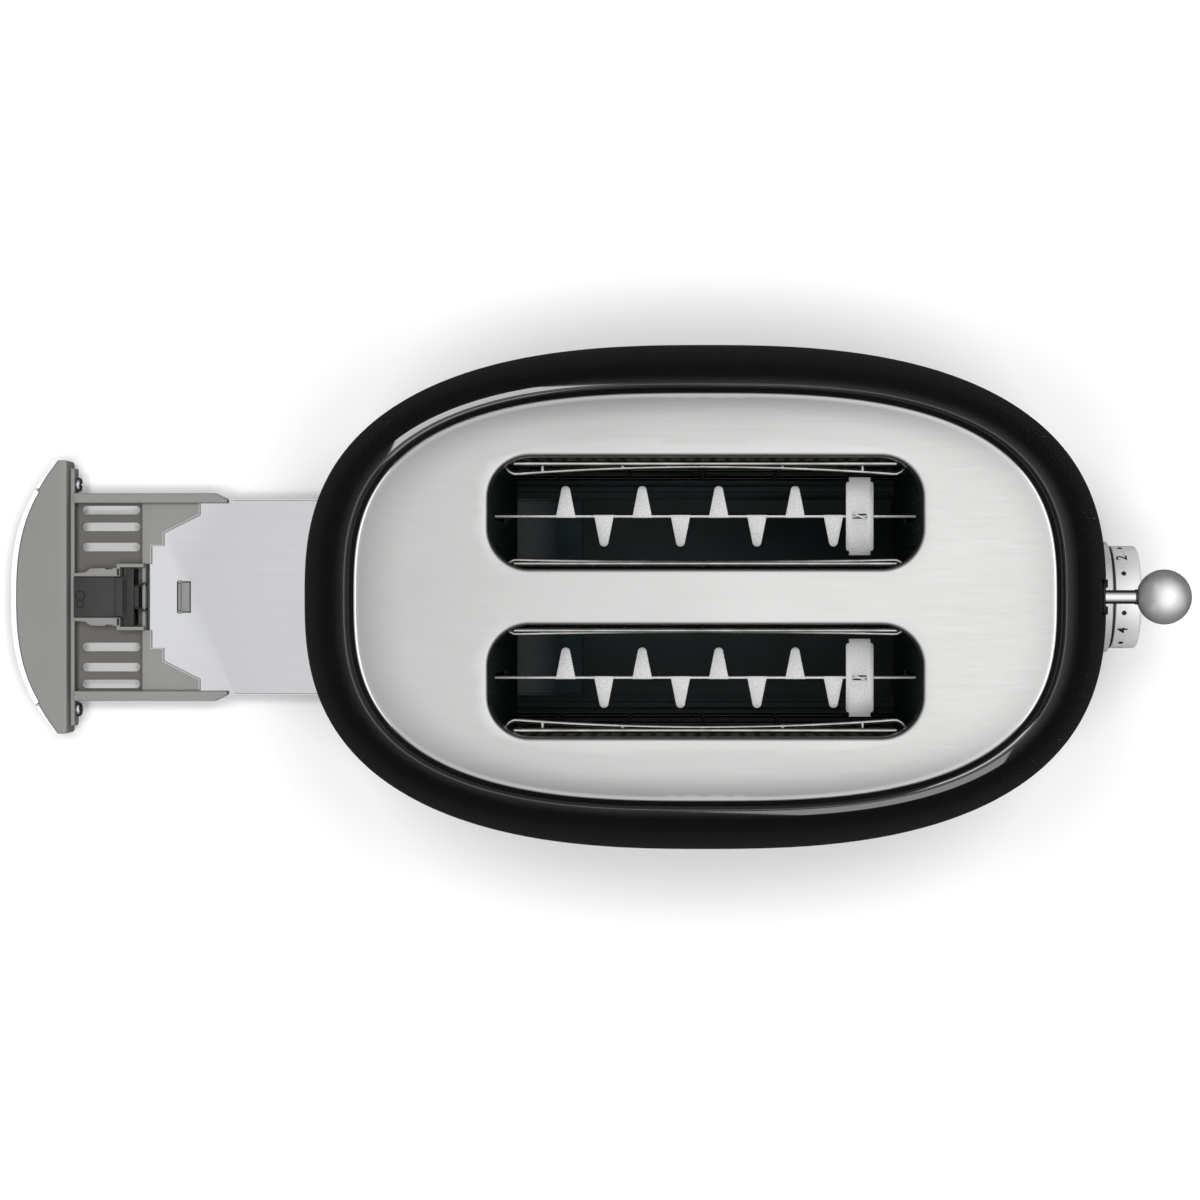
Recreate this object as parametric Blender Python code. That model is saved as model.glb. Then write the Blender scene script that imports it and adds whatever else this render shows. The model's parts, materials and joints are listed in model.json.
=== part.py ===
"""Two-slot toaster with a pull-out crumb tray, in metres, +Z up.

The pieces are modelled about the toaster's own centre, with +X towards the lever and dial and the feet on
Z = 0. The root empty then moves everything along X, so that the box around the whole object stands on the
world origin. The crumb tray is stored pulled out and the bread lever up. Tray pieces are modelled where they
lie when the tray is shut, and their empty carries them out.
"""

import math

import bmesh
import bpy
from mathutils import Matrix, Vector

# General fits
GAP = 0.0003
OVERRUN = 0.001
SINK = 0.0002
RING_SIDES = 56
SHARP_ANGLE_DEG = 35

# Body shell: a superelliptic loft, widest at WIDEST_HEIGHT, closing in to the rim round the top plate
BODY_LENGTH = 0.310
BODY_WIDTH = 0.195
BODY_HEIGHT = 0.198
BODY_EXPONENT = 2.57
PLATE_EXPONENT = 2.85
WIDEST_HEIGHT = 0.070
SHELL_BOTTOM = 0.022
LOWER_TUCK = 0.0095
LOWER_TUCK_POWER = 3
SHOULDER_ALONG = 0.033
SHOULDER_ACROSS = 0.0265
SHOULDER_POWER = 0.74
DOME_RISE = 0.010
SHELL_WALL = 0.0016
LIP_DEPTH = 0.0036
LIP_THICKNESS = 0.0006
SEAT_WIDTH = 0.0045
SEAT_THICKNESS = 0.0012
LOWER_LEVEL_SHARES = (0, 0.12, 0.3, 0.6, 1)
UPPER_LEVEL_SHARES = (0.25, 0.45, 0.62, 0.76, 0.87, 0.94, 0.98, 0.995)

# Top plate
PLATE_THICKNESS = 0.0012
PLATE_EDGE_ROLL = 0.0026
PLATE_EDGE_ROUND = 0.0008
PLATE_DOME_POWER = 2.2
PLATE_RING_SHARES = (0.97, 0.9, 0.78, 0.62, 0.45, 0.28, 0.05)
SLOT_END_GAP = 0.0015
SLOT_WIDTH = 0.0387
SLOT_SPACING = 0.058
SLOT_CORNER = 0.014
SLOT_COLLAR = 0.0012
CORNER_STEPS = 5

# Base ring, base plate and feet
BASE_INSET = 0.010
RING_BOTTOM = 0.0043
RING_WALL = 0.0022
RING_ROUND = 0.001
BASE_PLATE_BOTTOM = 0.005
BASE_PLATE_THICKNESS = 0.0025
FOOT_RADIUS = 0.009
FOOT_END_DISTANCE = 0.055
FOOT_SIDE_DISTANCE = 0.0435
FOOT_ROUND = 0.001
FOOT_SIDES = 20

# Inner frame: two end plates joined by the reflectors
CHASSIS_END_DISTANCE = 0.079
CHASSIS_WIDTH = 0.1096
SHEET = 0.0008
CHASSIS_BOTTOM = 0.0225
CHASSIS_TOP_CLEARANCE = 0.007
FLANGE_REACH = 0.010
FLANGE_WIDTH = 0.008
REFLECTOR_INSET = 0.0013
POST_RADIUS = 0.005
POST_SIDES = 16
SCREW_HEAD_RADIUS = 0.0031
SCREW_HEAD_HEIGHT = 0.0018
SCREW_RADIUS = 0.0015
SCREW_SIDES = 12
SCREW_TIP = 0.001
COUNTERSINK_DEPTH = 0.0023

# Heater boards
HEATER_THICKNESS = 0.001
HEATER_BOTTOM = 0.055
HEATER_TOP_DROP = 0.004
HEATER_OFFSET = 0.0228

# Bread guards, hinged on their lowest wire
GUARD_WIRE_RADIUS = 0.0009
GUARD_OFFSET = 0.0175
GUARD_BOTTOM = 0.050
GUARD_TOP_DROP = 0.0017
GUARD_SHIFT = -0.001
GUARD_UPRIGHTS = 5
GUARD_END_GAP = 0.0095
GUARD_END_OVERHANG = 0.0105
GUARD_BOW = 0.0016
GUARD_BOW_DROP = 0.010
GUARD_LEVEL_SHARES = (0.3, 0.6, 0.977)
PIVOT_REACH = 0.0025
PIVOT_CLEARANCE = 0.0004
WIRE_SIDES = 6

# Lever, carriage and what it carries
LEVER_DROP = 0.052
STEM_RADIUS = 0.0025
BALL_RADIUS = 0.010
BALL_REACH = 0.0113
BALL_BORE_DEPTH = 0.004
BALL_DIAL_GAP = 0.0016
STEM_SIDES = 16
BALL_SIDES = 24
NECK_RADIUS = 0.0032
NECK_LENGTH = 0.002
BAR_RISE = 0.010
BAR_HEIGHT = 0.012
BAR_OVERHANG = 0.004
TAB_END_DISTANCE = 0.0258
TAB_PAD_GAP = 0.00445
TAB_COUNT = 4
TAB_REACH = 0.0105
TAB_BASE = 0.0066
TAB_TIP = 0.0033
TAB_TIP_STEPS = 4
PAD_END_DISTANCE = 0.0255
PAD_LENGTH = 0.0099
PAD_WIDTH = 0.028
PAD_LIP = 0.005
PAD_NOTCH = 0.0015
BAR_SLIT_CLEARANCE = 0.0009
CARRIAGE_GAP = 0.0105
CARRIAGE_THICKNESS = 0.0016
CARRIAGE_WIDTH = 0.068
CARRIAGE_HEIGHT = 0.016
CARRIAGE_BELOW_BAR = 0.002
GUIDE_ROD_RADIUS = 0.002
GUIDE_ROD_CLEARANCE = 0.0004
GUIDE_ROD_END = 0.0015
GUIDE_ROD_OFFSET = -0.014
BUSH_RADIUS = 0.005
BUSH_SIDES = 20
BOSS_HEIGHT = 0.0065
BRACKET_WIDTH = 0.016
BRACKET_THICKNESS = 0.0012
BRACKET_DROP = 0.0028
BRACKET_MARGIN = 0.006
SPRING_COIL_RADIUS = 0.0042
SPRING_WIRE_RADIUS = 0.0006
SPRING_TURNS = 12
POINTS_PER_TURN = 8

# Holding magnet
MAGNET_OFFSET = 0.020
MAGNET_SIZE = 0.012
MAGNET_POLE = 0.003
MAGNET_COIL_HEIGHT = 0.012
MAGNET_POST = 0.006
MAGNET_SETBACK = 0.010
ARMATURE_THICKNESS = 0.002
ARM_THICKNESS = 0.0016

# Controls on the right end
BUTTON_RING_CLEARANCE = 0.0028
DIAL_RADIUS = 0.0196
DIAL_PROUD = 0.0131
DIAL_EDGE = 0.0012
DIAL_CROWN = 0.0006
DIAL_SIDES = 48
DIAL_SHAFT_RADIUS = 0.003
BEZEL_RADIUS = 0.0215
BEZEL_BORE_GAP = 0.0005
BEZEL_PROUD = 0.0013
BEZEL_DEPTH = 0.0103
BEZEL_FLOOR = 0.002
BOARD_SETBACK = 0.0274
BOARD_THICKNESS = 0.0016
BOARD_WIDTH = 0.060
BOARD_BOTTOM = 0.024
BOARD_ABOVE_DIAL = 0.024
RIB_WIDTH = 0.005
RIB_DEPTH = 0.006
SHAFT_HOLE_CLEARANCE = 0.0006
BEZEL_ROUND = 0.0004
POT_SIZE = 0.016
POT_DEPTH = 0.006
POT_BUSH_RADIUS = 0.005
POT_BUSH_LENGTH = 0.008
POT_BORE_CLEARANCE = 0.0003
BUTTON_RADIUS = 0.004
BUTTON_ORBIT = 0.0275
BUTTON_SPREAD_DEG = 37.5
BUTTON_PROUD = 0.0015
BUTTON_TRAVEL = 0.002
BUTTON_ROUND = 0.0008
BUTTON_COUNT = 3
BUTTON_SIDES = 20
SWITCH_SIZE = 0.006
SWITCH_DEPTH = 0.0034
LEVER_SLOT_CLEARANCE = 0.001
LEVER_SLOT_MARGIN = 0.0025
TRIM_WIDTH = 0.013
TRIM_MARGIN = 0.004
TRIM_THICKNESS = 0.001
TRIM_STEPS = 14

# Mains entry
GLAND_END_DISTANCE = 0.085
GLAND_HEIGHT = 0.013
GLAND_RADIUS = 0.0055
GLAND_BORE = 0.0035
GLAND_PROUD = 0.0022
GLAND_LENGTH = 0.010
TERMINAL_LENGTH = 0.024
TERMINAL_WIDTH = 0.010
TERMINAL_HEIGHT = 0.012
TERMINAL_INSET = 0.012
GLAND_SIDES = 20

# Crumb tray, given where it lies when shut
PAN_STAY = 0.0423
COVER_SIDE_DISTANCE = 0.0425
COVER_BOTTOM = 0.006
COVER_TOP_CLEARANCE = 0.0006
COVER_EDGE_DEPTH = 0.00378
COVER_ARC_STEPS = 16
COVER_SIDE_CLEARANCE = 0.0006
SKIN_DEPTH = 0.0022
SKIN_SIDE_INSET = 0.007
SKIN_END_SHARE = 0.9
FRAME_FLOOR_BOTTOM = 0.0078
FRAME_FLOOR_THICKNESS = 0.0015
FRAME_FLANGE_INSET = 0.003
FRAME_FLANGE_THICKNESS = 0.0017
FRAME_FLANGE_TOP = 0.016
FLOOR_LENGTH = 0.0283
FRAME_SIDE_INSET = 0.0131
RAIL_WIDTH = 0.0040
RAIL_TOP = 0.018
RAIL_LENGTH = 0.062
RAIL_CHAMFER = 0.0025
RISER_THICKNESS = 0.0015
WING_THICKNESS = 0.0015
WING_REACH = 0.0220
WING_MIDDLE_REACH = 0.0074
WING_INNER_REACH = 0.0025
WING_SIDE_SHARES = (0.804, 0.506, 0.294)
VENT_LENGTH = 0.0238
VENT_WIDTH = 0.00345
VENT_START = 0.0031
VENT_SIDE_SHARES = (0.282, 0.616, 0.894)
POCKET_HALF = 0.0083
POCKET_WALL = 0.0032
POCKET_HEAD_HALF = 0.0120
POCKET_HEAD_WALL = 0.0014
POCKET_STEP_WALL = 0.0014
POCKET_TOP = 0.0175
BACKING_TOP = 0.0152
PAN_LIFT = 0.0036
PAN_THICKNESS = 0.0008
PAN_START_GAP = 0.0014
PAN_SIDE_CLEARANCE = 0.0005
SKIRT_WALL = 0.0016
PAN_ROD_CLEARANCE = 0.0029
PAN_LIP_HEIGHT = 0.0045
PAN_LIP_START = 0.002
WINDOW_START = 0.0110
WINDOW_LENGTH = 0.0056
WINDOW_WIDTH = 0.0128
CLIP_CLEARANCE = 0.0005
CLIP_HEIGHT = 0.0016
GUIDE_CLEARANCE = 0.0006
GUIDE_WALL = 0.002
GUIDE_TOP = 0.016
GUIDE_START = 0.0055
GUIDE_PAST_PAN = 0.0028
SHELF_START = 0.002
SHELF_SHORT_OF_PAN = 0.0099
SHELF_WIDTH = 0.006
LATCH_LENGTH = 0.0169
LATCH_TOP = 0.019
LATCH_SHAFT_HALF = 0.0062
LATCH_SHAFT_BOTTOM = 0.012
LATCH_SHAFT_TOP = 0.0172
LATCH_SHAFT_LENGTH = 0.008
LATCH_TRAVEL = 0.0025
LATCH_TRAVEL_SPARE = 0.0012
LATCH_HEAD_HALF = 0.0114
LATCH_HEAD_THICKNESS = 0.0032
LATCH_NOSE_HALF = 0.0043
LATCH_NOSE_LENGTH = 0.0019
LATCH_HEAD_STANDOFF = 0.0042
STRIKER_HALF = 0.003
STRIKER_THICKNESS = 0.002
STRIKER_HEIGHT = 0.014
STRIKER_BOTTOM = 0.017
TRAY_SCREW_INSET = 0.0095
TRAY_SCREW_HEIGHT = 0.012
TRAY_SCREW_HEAD_RADIUS = 0.00285
TRAY_SCREW_HEAD_HEIGHT = 0.0025
TRAY_SCREW_LENGTH = 0.007
TRAY_SCREW_RADIUS = 0.0012


def reach(half_length, half_width, exponent, y):
    """How far a superellipse reaches along X at a given Y."""
    return half_length * (1 - min(abs(y) / half_width, 1) ** exponent) ** (1 / exponent)


# Sizes worked out from the ones above
HALF_LENGTH = BODY_LENGTH / 2
HALF_WIDTH = BODY_WIDTH / 2
CHASSIS_LENGTH = BODY_LENGTH - 2 * CHASSIS_END_DISTANCE
SLOT_LENGTH = CHASSIS_LENGTH - 2 * SLOT_END_GAP
FOOT_X = HALF_LENGTH - FOOT_END_DISTANCE
FOOT_Y = HALF_WIDTH - FOOT_SIDE_DISTANCE
RIM_HEIGHT = BODY_HEIGHT - DOME_RISE
SEAT_HEIGHT = RIM_HEIGHT - LIP_DEPTH
PLATE_HALF_LENGTH = HALF_LENGTH - SHOULDER_ALONG - GAP
PLATE_HALF_WIDTH = HALF_WIDTH - SHOULDER_ACROSS - GAP
PLATE_BOTTOM = SEAT_HEIGHT + GAP
PLATE_CROWN_BASE = PLATE_BOTTOM + PLATE_EDGE_ROLL
BASE_HALF_LENGTH = HALF_LENGTH - BASE_INSET
BASE_HALF_WIDTH = HALF_WIDTH - BASE_INSET
RING_TOP = SHELL_BOTTOM - GAP
BASE_PLATE_TOP = BASE_PLATE_BOTTOM + BASE_PLATE_THICKNESS
FOOT_HEIGHT = BASE_PLATE_BOTTOM - GAP
CHASSIS_TOP = RIM_HEIGHT - CHASSIS_TOP_CLEARANCE
CHASSIS_HALF = CHASSIS_LENGTH / 2
CHASSIS_INSIDE = CHASSIS_HALF - SHEET / 2 - GAP
CHASSIS_SIDE = CHASSIS_WIDTH / 2
SLOT_Y = SLOT_SPACING / 2
GUARD_HALF = CHASSIS_HALF - GUARD_END_GAP
GUARD_UPRIGHT_HALF = GUARD_HALF - GUARD_END_OVERHANG
TAB_START = TAB_END_DISTANCE - CHASSIS_HALF
PAD_START = CHASSIS_HALF - PAD_END_DISTANCE
TAB_PITCH = (PAD_START - TAB_START - TAB_PAD_GAP) / (TAB_COUNT - 1 / 2)
POST_X = CHASSIS_HALF + FLANGE_REACH / 2
POST_Y = CHASSIS_SIDE - FLANGE_WIDTH / 2
LEVER_Z = RIM_HEIGHT - LEVER_DROP
DIAL_HEIGHT = RING_TOP + BUTTON_RING_CLEARANCE + BUTTON_RADIUS + BUTTON_ORBIT
DIAL_TOP = DIAL_HEIGHT + DIAL_RADIUS
LEVER_TRAVEL = LEVER_Z - DIAL_TOP - BALL_RADIUS - BALL_DIAL_GAP
BAR_TOP = LEVER_Z + BAR_RISE
BAR_BOTTOM = BAR_TOP - BAR_HEIGHT
CARRIAGE_BOTTOM = BAR_BOTTOM - CARRIAGE_BELOW_BAR
CARRIAGE_TOP = CARRIAGE_BOTTOM + CARRIAGE_HEIGHT
CARRIAGE_START = CHASSIS_HALF + CARRIAGE_GAP
CARRIAGE_END = CARRIAGE_START + CARRIAGE_THICKNESS
GUIDE_ROD_X = CARRIAGE_END + BUSH_RADIUS - SINK
GUIDE_ROD_PLACE = (GUIDE_ROD_X, GUIDE_ROD_OFFSET, 0)
BRACKET_TOP = CHASSIS_TOP - BRACKET_DROP
GUARD_TOP = PLATE_BOTTOM - GUARD_TOP_DROP
MAGNET_X = CARRIAGE_END + MAGNET_SETBACK
MAGNET_TOP = CARRIAGE_BOTTOM - LEVER_TRAVEL - GAP
ARMATURE_TOP = CARRIAGE_BOTTOM + ARMATURE_THICKNESS
BOARD_FRONT = HALF_LENGTH - BOARD_SETBACK
BEZEL_FRONT = HALF_LENGTH + BEZEL_PROUD
BEZEL_BACK = BEZEL_FRONT - BEZEL_DEPTH
POT_END = BOARD_FRONT + GAP + POT_DEPTH + POT_BUSH_LENGTH
BALL_X = HALF_LENGTH + BALL_REACH
LEVER_SLOT_HALF = STEM_RADIUS + LEVER_SLOT_CLEARANCE
LEVER_SLOT_TOP = LEVER_Z + STEM_RADIUS + LEVER_SLOT_MARGIN
LEVER_SLOT_BOTTOM = LEVER_Z - LEVER_TRAVEL - STEM_RADIUS - LEVER_SLOT_MARGIN
COVER_HALF = HALF_WIDTH - COVER_SIDE_DISTANCE
SKIN_HALF_WIDTH = COVER_HALF - SKIN_SIDE_INSET
TRAY_SCREW_OFFSET = COVER_HALF - TRAY_SCREW_INSET
COVER_FRONT = -BASE_HALF_LENGTH
COVER_BACK = COVER_EDGE_DEPTH - reach(BASE_HALF_LENGTH, BASE_HALF_WIDTH, BODY_EXPONENT, COVER_HALF)
COVER_TOP = SHELL_BOTTOM - COVER_TOP_CLEARANCE
FLANGE_START = COVER_BACK + GAP
FLOOR_START = FLANGE_START + FRAME_FLANGE_THICKNESS
FLOOR_END = FLOOR_START + FLOOR_LENGTH
FLOOR_TOP = FRAME_FLOOR_BOTTOM + FRAME_FLOOR_THICKNESS
FRAME_SIDE = COVER_HALF - FRAME_SIDE_INSET
RAIL_INSIDE = FRAME_SIDE - RAIL_WIDTH
POCKET_OUTSIDE = POCKET_HEAD_HALF + POCKET_HEAD_WALL
PAN_BOTTOM = FRAME_FLOOR_BOTTOM + PAN_LIFT
PAN_TOP = PAN_BOTTOM + PAN_THICKNESS
PAN_SIDE = FRAME_SIDE - SKIRT_WALL - PAN_SIDE_CLEARANCE
PAN_END = GUIDE_ROD_X - BUSH_RADIUS - PAN_ROD_CLEARANCE
TRAY_TRAVEL = PAN_END - FLOOR_END - PAN_STAY
WING_BOTTOM = PAN_TOP + GAP
LATCH_END = FLOOR_START + GAP + LATCH_LENGTH
LATCH_HEAD_START = LATCH_END + LATCH_HEAD_STANDOFF
LATCH_HEAD_END = LATCH_HEAD_START + LATCH_HEAD_THICKNESS
LATCH_TIP = LATCH_HEAD_END + LATCH_NOSE_LENGTH
POCKET_STEP = LATCH_HEAD_START - LATCH_TRAVEL - GAP
GLAND_ALONG = BASE_HALF_LENGTH - GLAND_END_DISTANCE
GLAND_WALL_Y = reach(BASE_HALF_WIDTH, BASE_HALF_LENGTH, BODY_EXPONENT, GLAND_ALONG)

LAYOUT_X = (TRAY_TRAVEL + BASE_HALF_LENGTH - BALL_X - BALL_RADIUS) / 2


def clear_scene():
    for old in list(bpy.data.objects):
        bpy.data.objects.remove(old)


def frame_at(name, origin, parent=None, shift=(0, 0, 0)):
    """An empty on a joint's axis. Pieces are modelled round its origin, and shift moves them from there."""
    marker = bpy.data.objects.new(name, None)
    marker.empty_display_size = BALL_RADIUS
    marker["origin"] = origin
    base = Vector(parent["origin"]) if parent else Vector((0, 0, 0))
    marker.location = Vector(origin) - base + Vector(shift)
    marker.parent = parent
    bpy.context.scene.collection.objects.link(marker)
    return marker


def finish(piece, parent, colour, roughness, metallic=0.0):
    """Hangs the piece on its empty, with its own origin there, and gives it its material."""
    piece.data.transform(Matrix.Translation(-Vector(parent["origin"])))
    piece.parent = parent
    material = bpy.data.materials.new(piece.name)
    material.use_nodes = True
    shader = material.node_tree.nodes["Principled BSDF"]
    shader.inputs["Base Color"].default_value = (*colour, 1)
    shader.inputs["Roughness"].default_value = roughness
    shader.inputs["Metallic"].default_value = metallic
    piece.data.materials.clear()
    piece.data.materials.append(material)
    piece.data.shade_smooth()
    piece.data.set_sharp_from_angle(angle=math.radians(SHARP_ANGLE_DEG))
    return piece


def solid(name, points, faces):
    """One closed mesh with its faces pointing out."""
    mesh = bpy.data.meshes.new(name)
    mesh.from_pydata(points, [], faces)
    shape = bmesh.new()
    shape.from_mesh(mesh)
    bmesh.ops.recalc_face_normals(shape, faces=shape.faces)
    shape.to_mesh(mesh)
    shape.free()
    piece = bpy.data.objects.new(name, mesh)
    bpy.context.scene.collection.objects.link(piece)
    return piece


def box(name, low, high):
    points = [(x, y, z) for x in (low[0], high[0]) for y in (low[1], high[1]) for z in (low[2], high[2])]
    faces = [(0, 1, 3, 2), (4, 6, 7, 5), (0, 4, 5, 1), (2, 3, 7, 6), (0, 2, 6, 4), (1, 5, 7, 3)]
    return solid(name, points, faces)


def centred_box(name, centre, size):
    low = [c - s / 2 for c, s in zip(centre, size)]
    high = [c + s / 2 for c, s in zip(centre, size)]
    return box(name, low, high)


def loft(name, rings, closed=False):
    """Skins rings of equal count. A closed loft joins last ring to first, an open one has flat ends."""
    count = len(rings[0])
    points = [point for ring in rings for point in ring]
    faces = []
    last = len(rings) if closed else len(rings) - 1
    for level in range(last):
        here, there = level * count, (level + 1) % len(rings) * count
        for i in range(count):
            j = (i + 1) % count
            faces.append((here + i, here + j, there + j, there + i))
    if not closed:
        faces.append(tuple(range(count)))
        faces.append(tuple(range(len(points) - count, len(points))))
    return solid(name, points, faces)


def prism(name, outline, bottom, top):
    return loft(name, [[(x, y, z) for x, y in outline] for z in (bottom, top)])


def turned(name, profile, axis, centre=(0, 0, 0), sides=POST_SIDES, hollow=False):
    """Turns a profile of (radius, distance along the axis) about an axis through the centre.

    A hollow one is a ring: its profile is a closed loop beside the axis.
    """
    turn = {
        "X": Matrix.Rotation(math.pi / 2, 4, "Y"),
        "Y": Matrix.Rotation(-math.pi / 2, 4, "X"),
        "Z": Matrix.Identity(4),
    }[axis]
    place = Matrix.Translation(Vector(centre)) @ turn
    points, faces, rings = [], [], []
    for radius, along in profile:
        steps = sides if radius else 1
        rings.append(range(len(points), len(points) + steps))
        for i in range(steps):
            angle = 2 * math.pi * i / sides
            points.append(place @ Vector((radius * math.cos(angle), radius * math.sin(angle), along)))
    pairs = list(zip(rings, rings[1:]))
    if hollow:
        pairs.append((rings[-1], rings[0]))
    for lower, upper in pairs:
        for i in range(sides):
            j = (i + 1) % sides
            below = [lower[i % len(lower)], lower[j % len(lower)]]
            above = [upper[j % len(upper)], upper[i % len(upper)]]
            corners = list(dict.fromkeys(below + above))
            if len(corners) > 2:
                faces.append(corners)
    if not hollow:
        faces += [tuple(ring) for ring in (rings[0], rings[-1]) if len(ring) > 1]
    return solid(name, points, faces)


def rod(name, axis, centre, radius, start, end, sides=POST_SIDES):
    """A plain round bar or drill. Its centre's own coordinate along the axis is zero."""
    return turned(name, [(radius, start), (radius, end)], axis, centre, sides)


def combine(piece, tool, operation):
    """Applies a Boolean to the piece and removes the tool."""
    modifier = piece.modifiers.new(operation.title(), "BOOLEAN")
    modifier.operation = operation
    modifier.object = tool
    bpy.context.view_layer.update()
    graph = bpy.context.evaluated_depsgraph_get()
    mesh = bpy.data.meshes.new_from_object(piece.evaluated_get(graph))
    piece.modifiers.clear()
    piece.data = mesh
    bpy.data.objects.remove(tool)
    return piece


def cut(piece, *tools):
    for tool in tools:
        combine(piece, tool, "DIFFERENCE")
    return piece


def join(piece, *tools):
    for tool in tools:
        combine(piece, tool, "UNION")
    return piece


def superellipse(half_length, half_width, exponent, height, sides=RING_SIDES):
    ring = []
    for i in range(sides):
        angle = 2 * math.pi * i / sides
        c, s = math.cos(angle), math.sin(angle)
        x = math.copysign(abs(c) ** (2 / exponent), c) * half_length
        y = math.copysign(abs(s) ** (2 / exponent), s) * half_width
        ring.append((x, y, height))
    return ring


def body_axes(height, inset=0):
    """The shell's half length, half width and exponent at a height, drawn in by an inset."""
    if height < WIDEST_HEIGHT:
        share = (WIDEST_HEIGHT - height) / (WIDEST_HEIGHT - SHELL_BOTTOM)
        tuck = LOWER_TUCK * share**LOWER_TUCK_POWER
        return HALF_LENGTH - tuck - inset, HALF_WIDTH - tuck - inset, BODY_EXPONENT
    share = min((height - WIDEST_HEIGHT) / (RIM_HEIGHT - WIDEST_HEIGHT), 1)
    bend = 1 - (1 - share**2) ** SHOULDER_POWER
    exponent = BODY_EXPONENT + (PLATE_EXPONENT - BODY_EXPONENT) * bend
    half_length = HALF_LENGTH - SHOULDER_ALONG * bend - inset
    return half_length, HALF_WIDTH - SHOULDER_ACROSS * bend - inset, exponent


def body_face(height, y=0):
    """X of the shell's outer face on the lever end."""
    half_length, half_width, exponent = body_axes(height)
    return reach(half_length, half_width, exponent, y)


def rounded_outline(centre_x, centre_y, length, width, corner):
    points = []
    corners = ((1, 1, 0), (-1, 1, 1), (-1, -1, 2), (1, -1, 3))
    for sign_x, sign_y, quarter in corners:
        for step in range(CORNER_STEPS + 1):
            angle = math.pi / 2 * (quarter + step / CORNER_STEPS)
            x = centre_x + sign_x * (length / 2 - corner) + corner * math.cos(angle)
            y = centre_y + sign_y * (width / 2 - corner) + corner * math.sin(angle)
            points.append((x, y))
    return points


def body_shell():
    lower = [SHELL_BOTTOM + share * (WIDEST_HEIGHT - SHELL_BOTTOM) for share in LOWER_LEVEL_SHARES]
    upper = [WIDEST_HEIGHT + share * (RIM_HEIGHT - WIDEST_HEIGHT) for share in UPPER_LEVEL_SHARES]
    rings = [superellipse(*body_axes(height), height) for height in lower + upper]
    lip_along, lip_across = HALF_LENGTH - SHOULDER_ALONG, HALF_WIDTH - SHOULDER_ACROSS
    for inset, height in (
        (-LIP_THICKNESS, RIM_HEIGHT),
        (0, RIM_HEIGHT - LIP_THICKNESS),
        (0, SEAT_HEIGHT),
        (SEAT_WIDTH, SEAT_HEIGHT),
        (SEAT_WIDTH, SEAT_HEIGHT - SEAT_THICKNESS),
    ):
        rings.append(superellipse(lip_along - inset, lip_across - inset, PLATE_EXPONENT, height))
    inner = [height for height in lower + upper if height < SEAT_HEIGHT - SEAT_THICKNESS]
    inner.append(SEAT_HEIGHT - SEAT_THICKNESS)
    for height in reversed(inner):
        rings.append(superellipse(*body_axes(height, SHELL_WALL), height))
    shell = loft("body_shell", rings, closed=True)
    inside = HALF_LENGTH - SHOULDER_ALONG
    outside = HALF_LENGTH + OVERRUN
    cut(
        shell,
        box(
            "lever_slot",
            (inside, -LEVER_SLOT_HALF, LEVER_SLOT_BOTTOM),
            (outside, LEVER_SLOT_HALF, LEVER_SLOT_TOP),
        ),
        rod("dial_hole", "X", (0, 0, DIAL_HEIGHT), BEZEL_RADIUS + GAP, inside, outside, DIAL_SIDES),
    )
    for y, z in button_places():
        cut(shell, rod("button_hole", "X", (0, y, z), BUTTON_RADIUS + GAP, inside, outside, BUTTON_SIDES))
    return shell


def dome_height(share):
    rise = BODY_HEIGHT - PLATE_CROWN_BASE
    return PLATE_CROWN_BASE + rise * (1 - share**PLATE_DOME_POWER)


def plate_ring(share, height, inset=0):
    half_length = PLATE_HALF_LENGTH * share - inset
    return superellipse(half_length, PLATE_HALF_WIDTH * share - inset, PLATE_EXPONENT, height)


def plate_dome(name, underside, drop=0):
    """The plate's crowned surface, lowered by drop, and closed below at the heights that underside gives."""
    rings = [plate_ring(share, underside(share)) for share in reversed(PLATE_RING_SHARES)]
    rings.append(plate_ring(1, PLATE_BOTTOM, PLATE_EDGE_ROUND))
    rings.append(plate_ring(1, PLATE_BOTTOM + PLATE_EDGE_ROUND))
    rings.append(plate_ring(1, PLATE_CROWN_BASE - PLATE_EDGE_ROUND))
    rings.append(plate_ring(1, PLATE_CROWN_BASE - drop, PLATE_EDGE_ROUND))
    rings += [plate_ring(share, dome_height(share) - drop) for share in PLATE_RING_SHARES]
    return loft(name, rings)


def top_plate():
    plate = plate_dome("top_plate", lambda share: dome_height(share) - PLATE_THICKNESS)
    collar_bottom = PLATE_BOTTOM + SINK
    for side in (1, -1):
        collar = prism(
            "collar",
            rounded_outline(
                0,
                side * SLOT_Y,
                SLOT_LENGTH + 2 * SLOT_COLLAR,
                SLOT_WIDTH + 2 * SLOT_COLLAR,
                SLOT_CORNER + SLOT_COLLAR,
            ),
            collar_bottom,
            BODY_HEIGHT + OVERRUN,
        )
        whole = plate_dome("whole", lambda share: PLATE_BOTTOM, PLATE_THICKNESS / 2)
        combine(collar, whole, "INTERSECT")
        join(plate, collar)
    for side in (1, -1):
        opening = rounded_outline(0, side * SLOT_Y, SLOT_LENGTH, SLOT_WIDTH, SLOT_CORNER)
        cut(plate, prism("slot", opening, SHELL_BOTTOM, BODY_HEIGHT + OVERRUN))
    return plate


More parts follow.
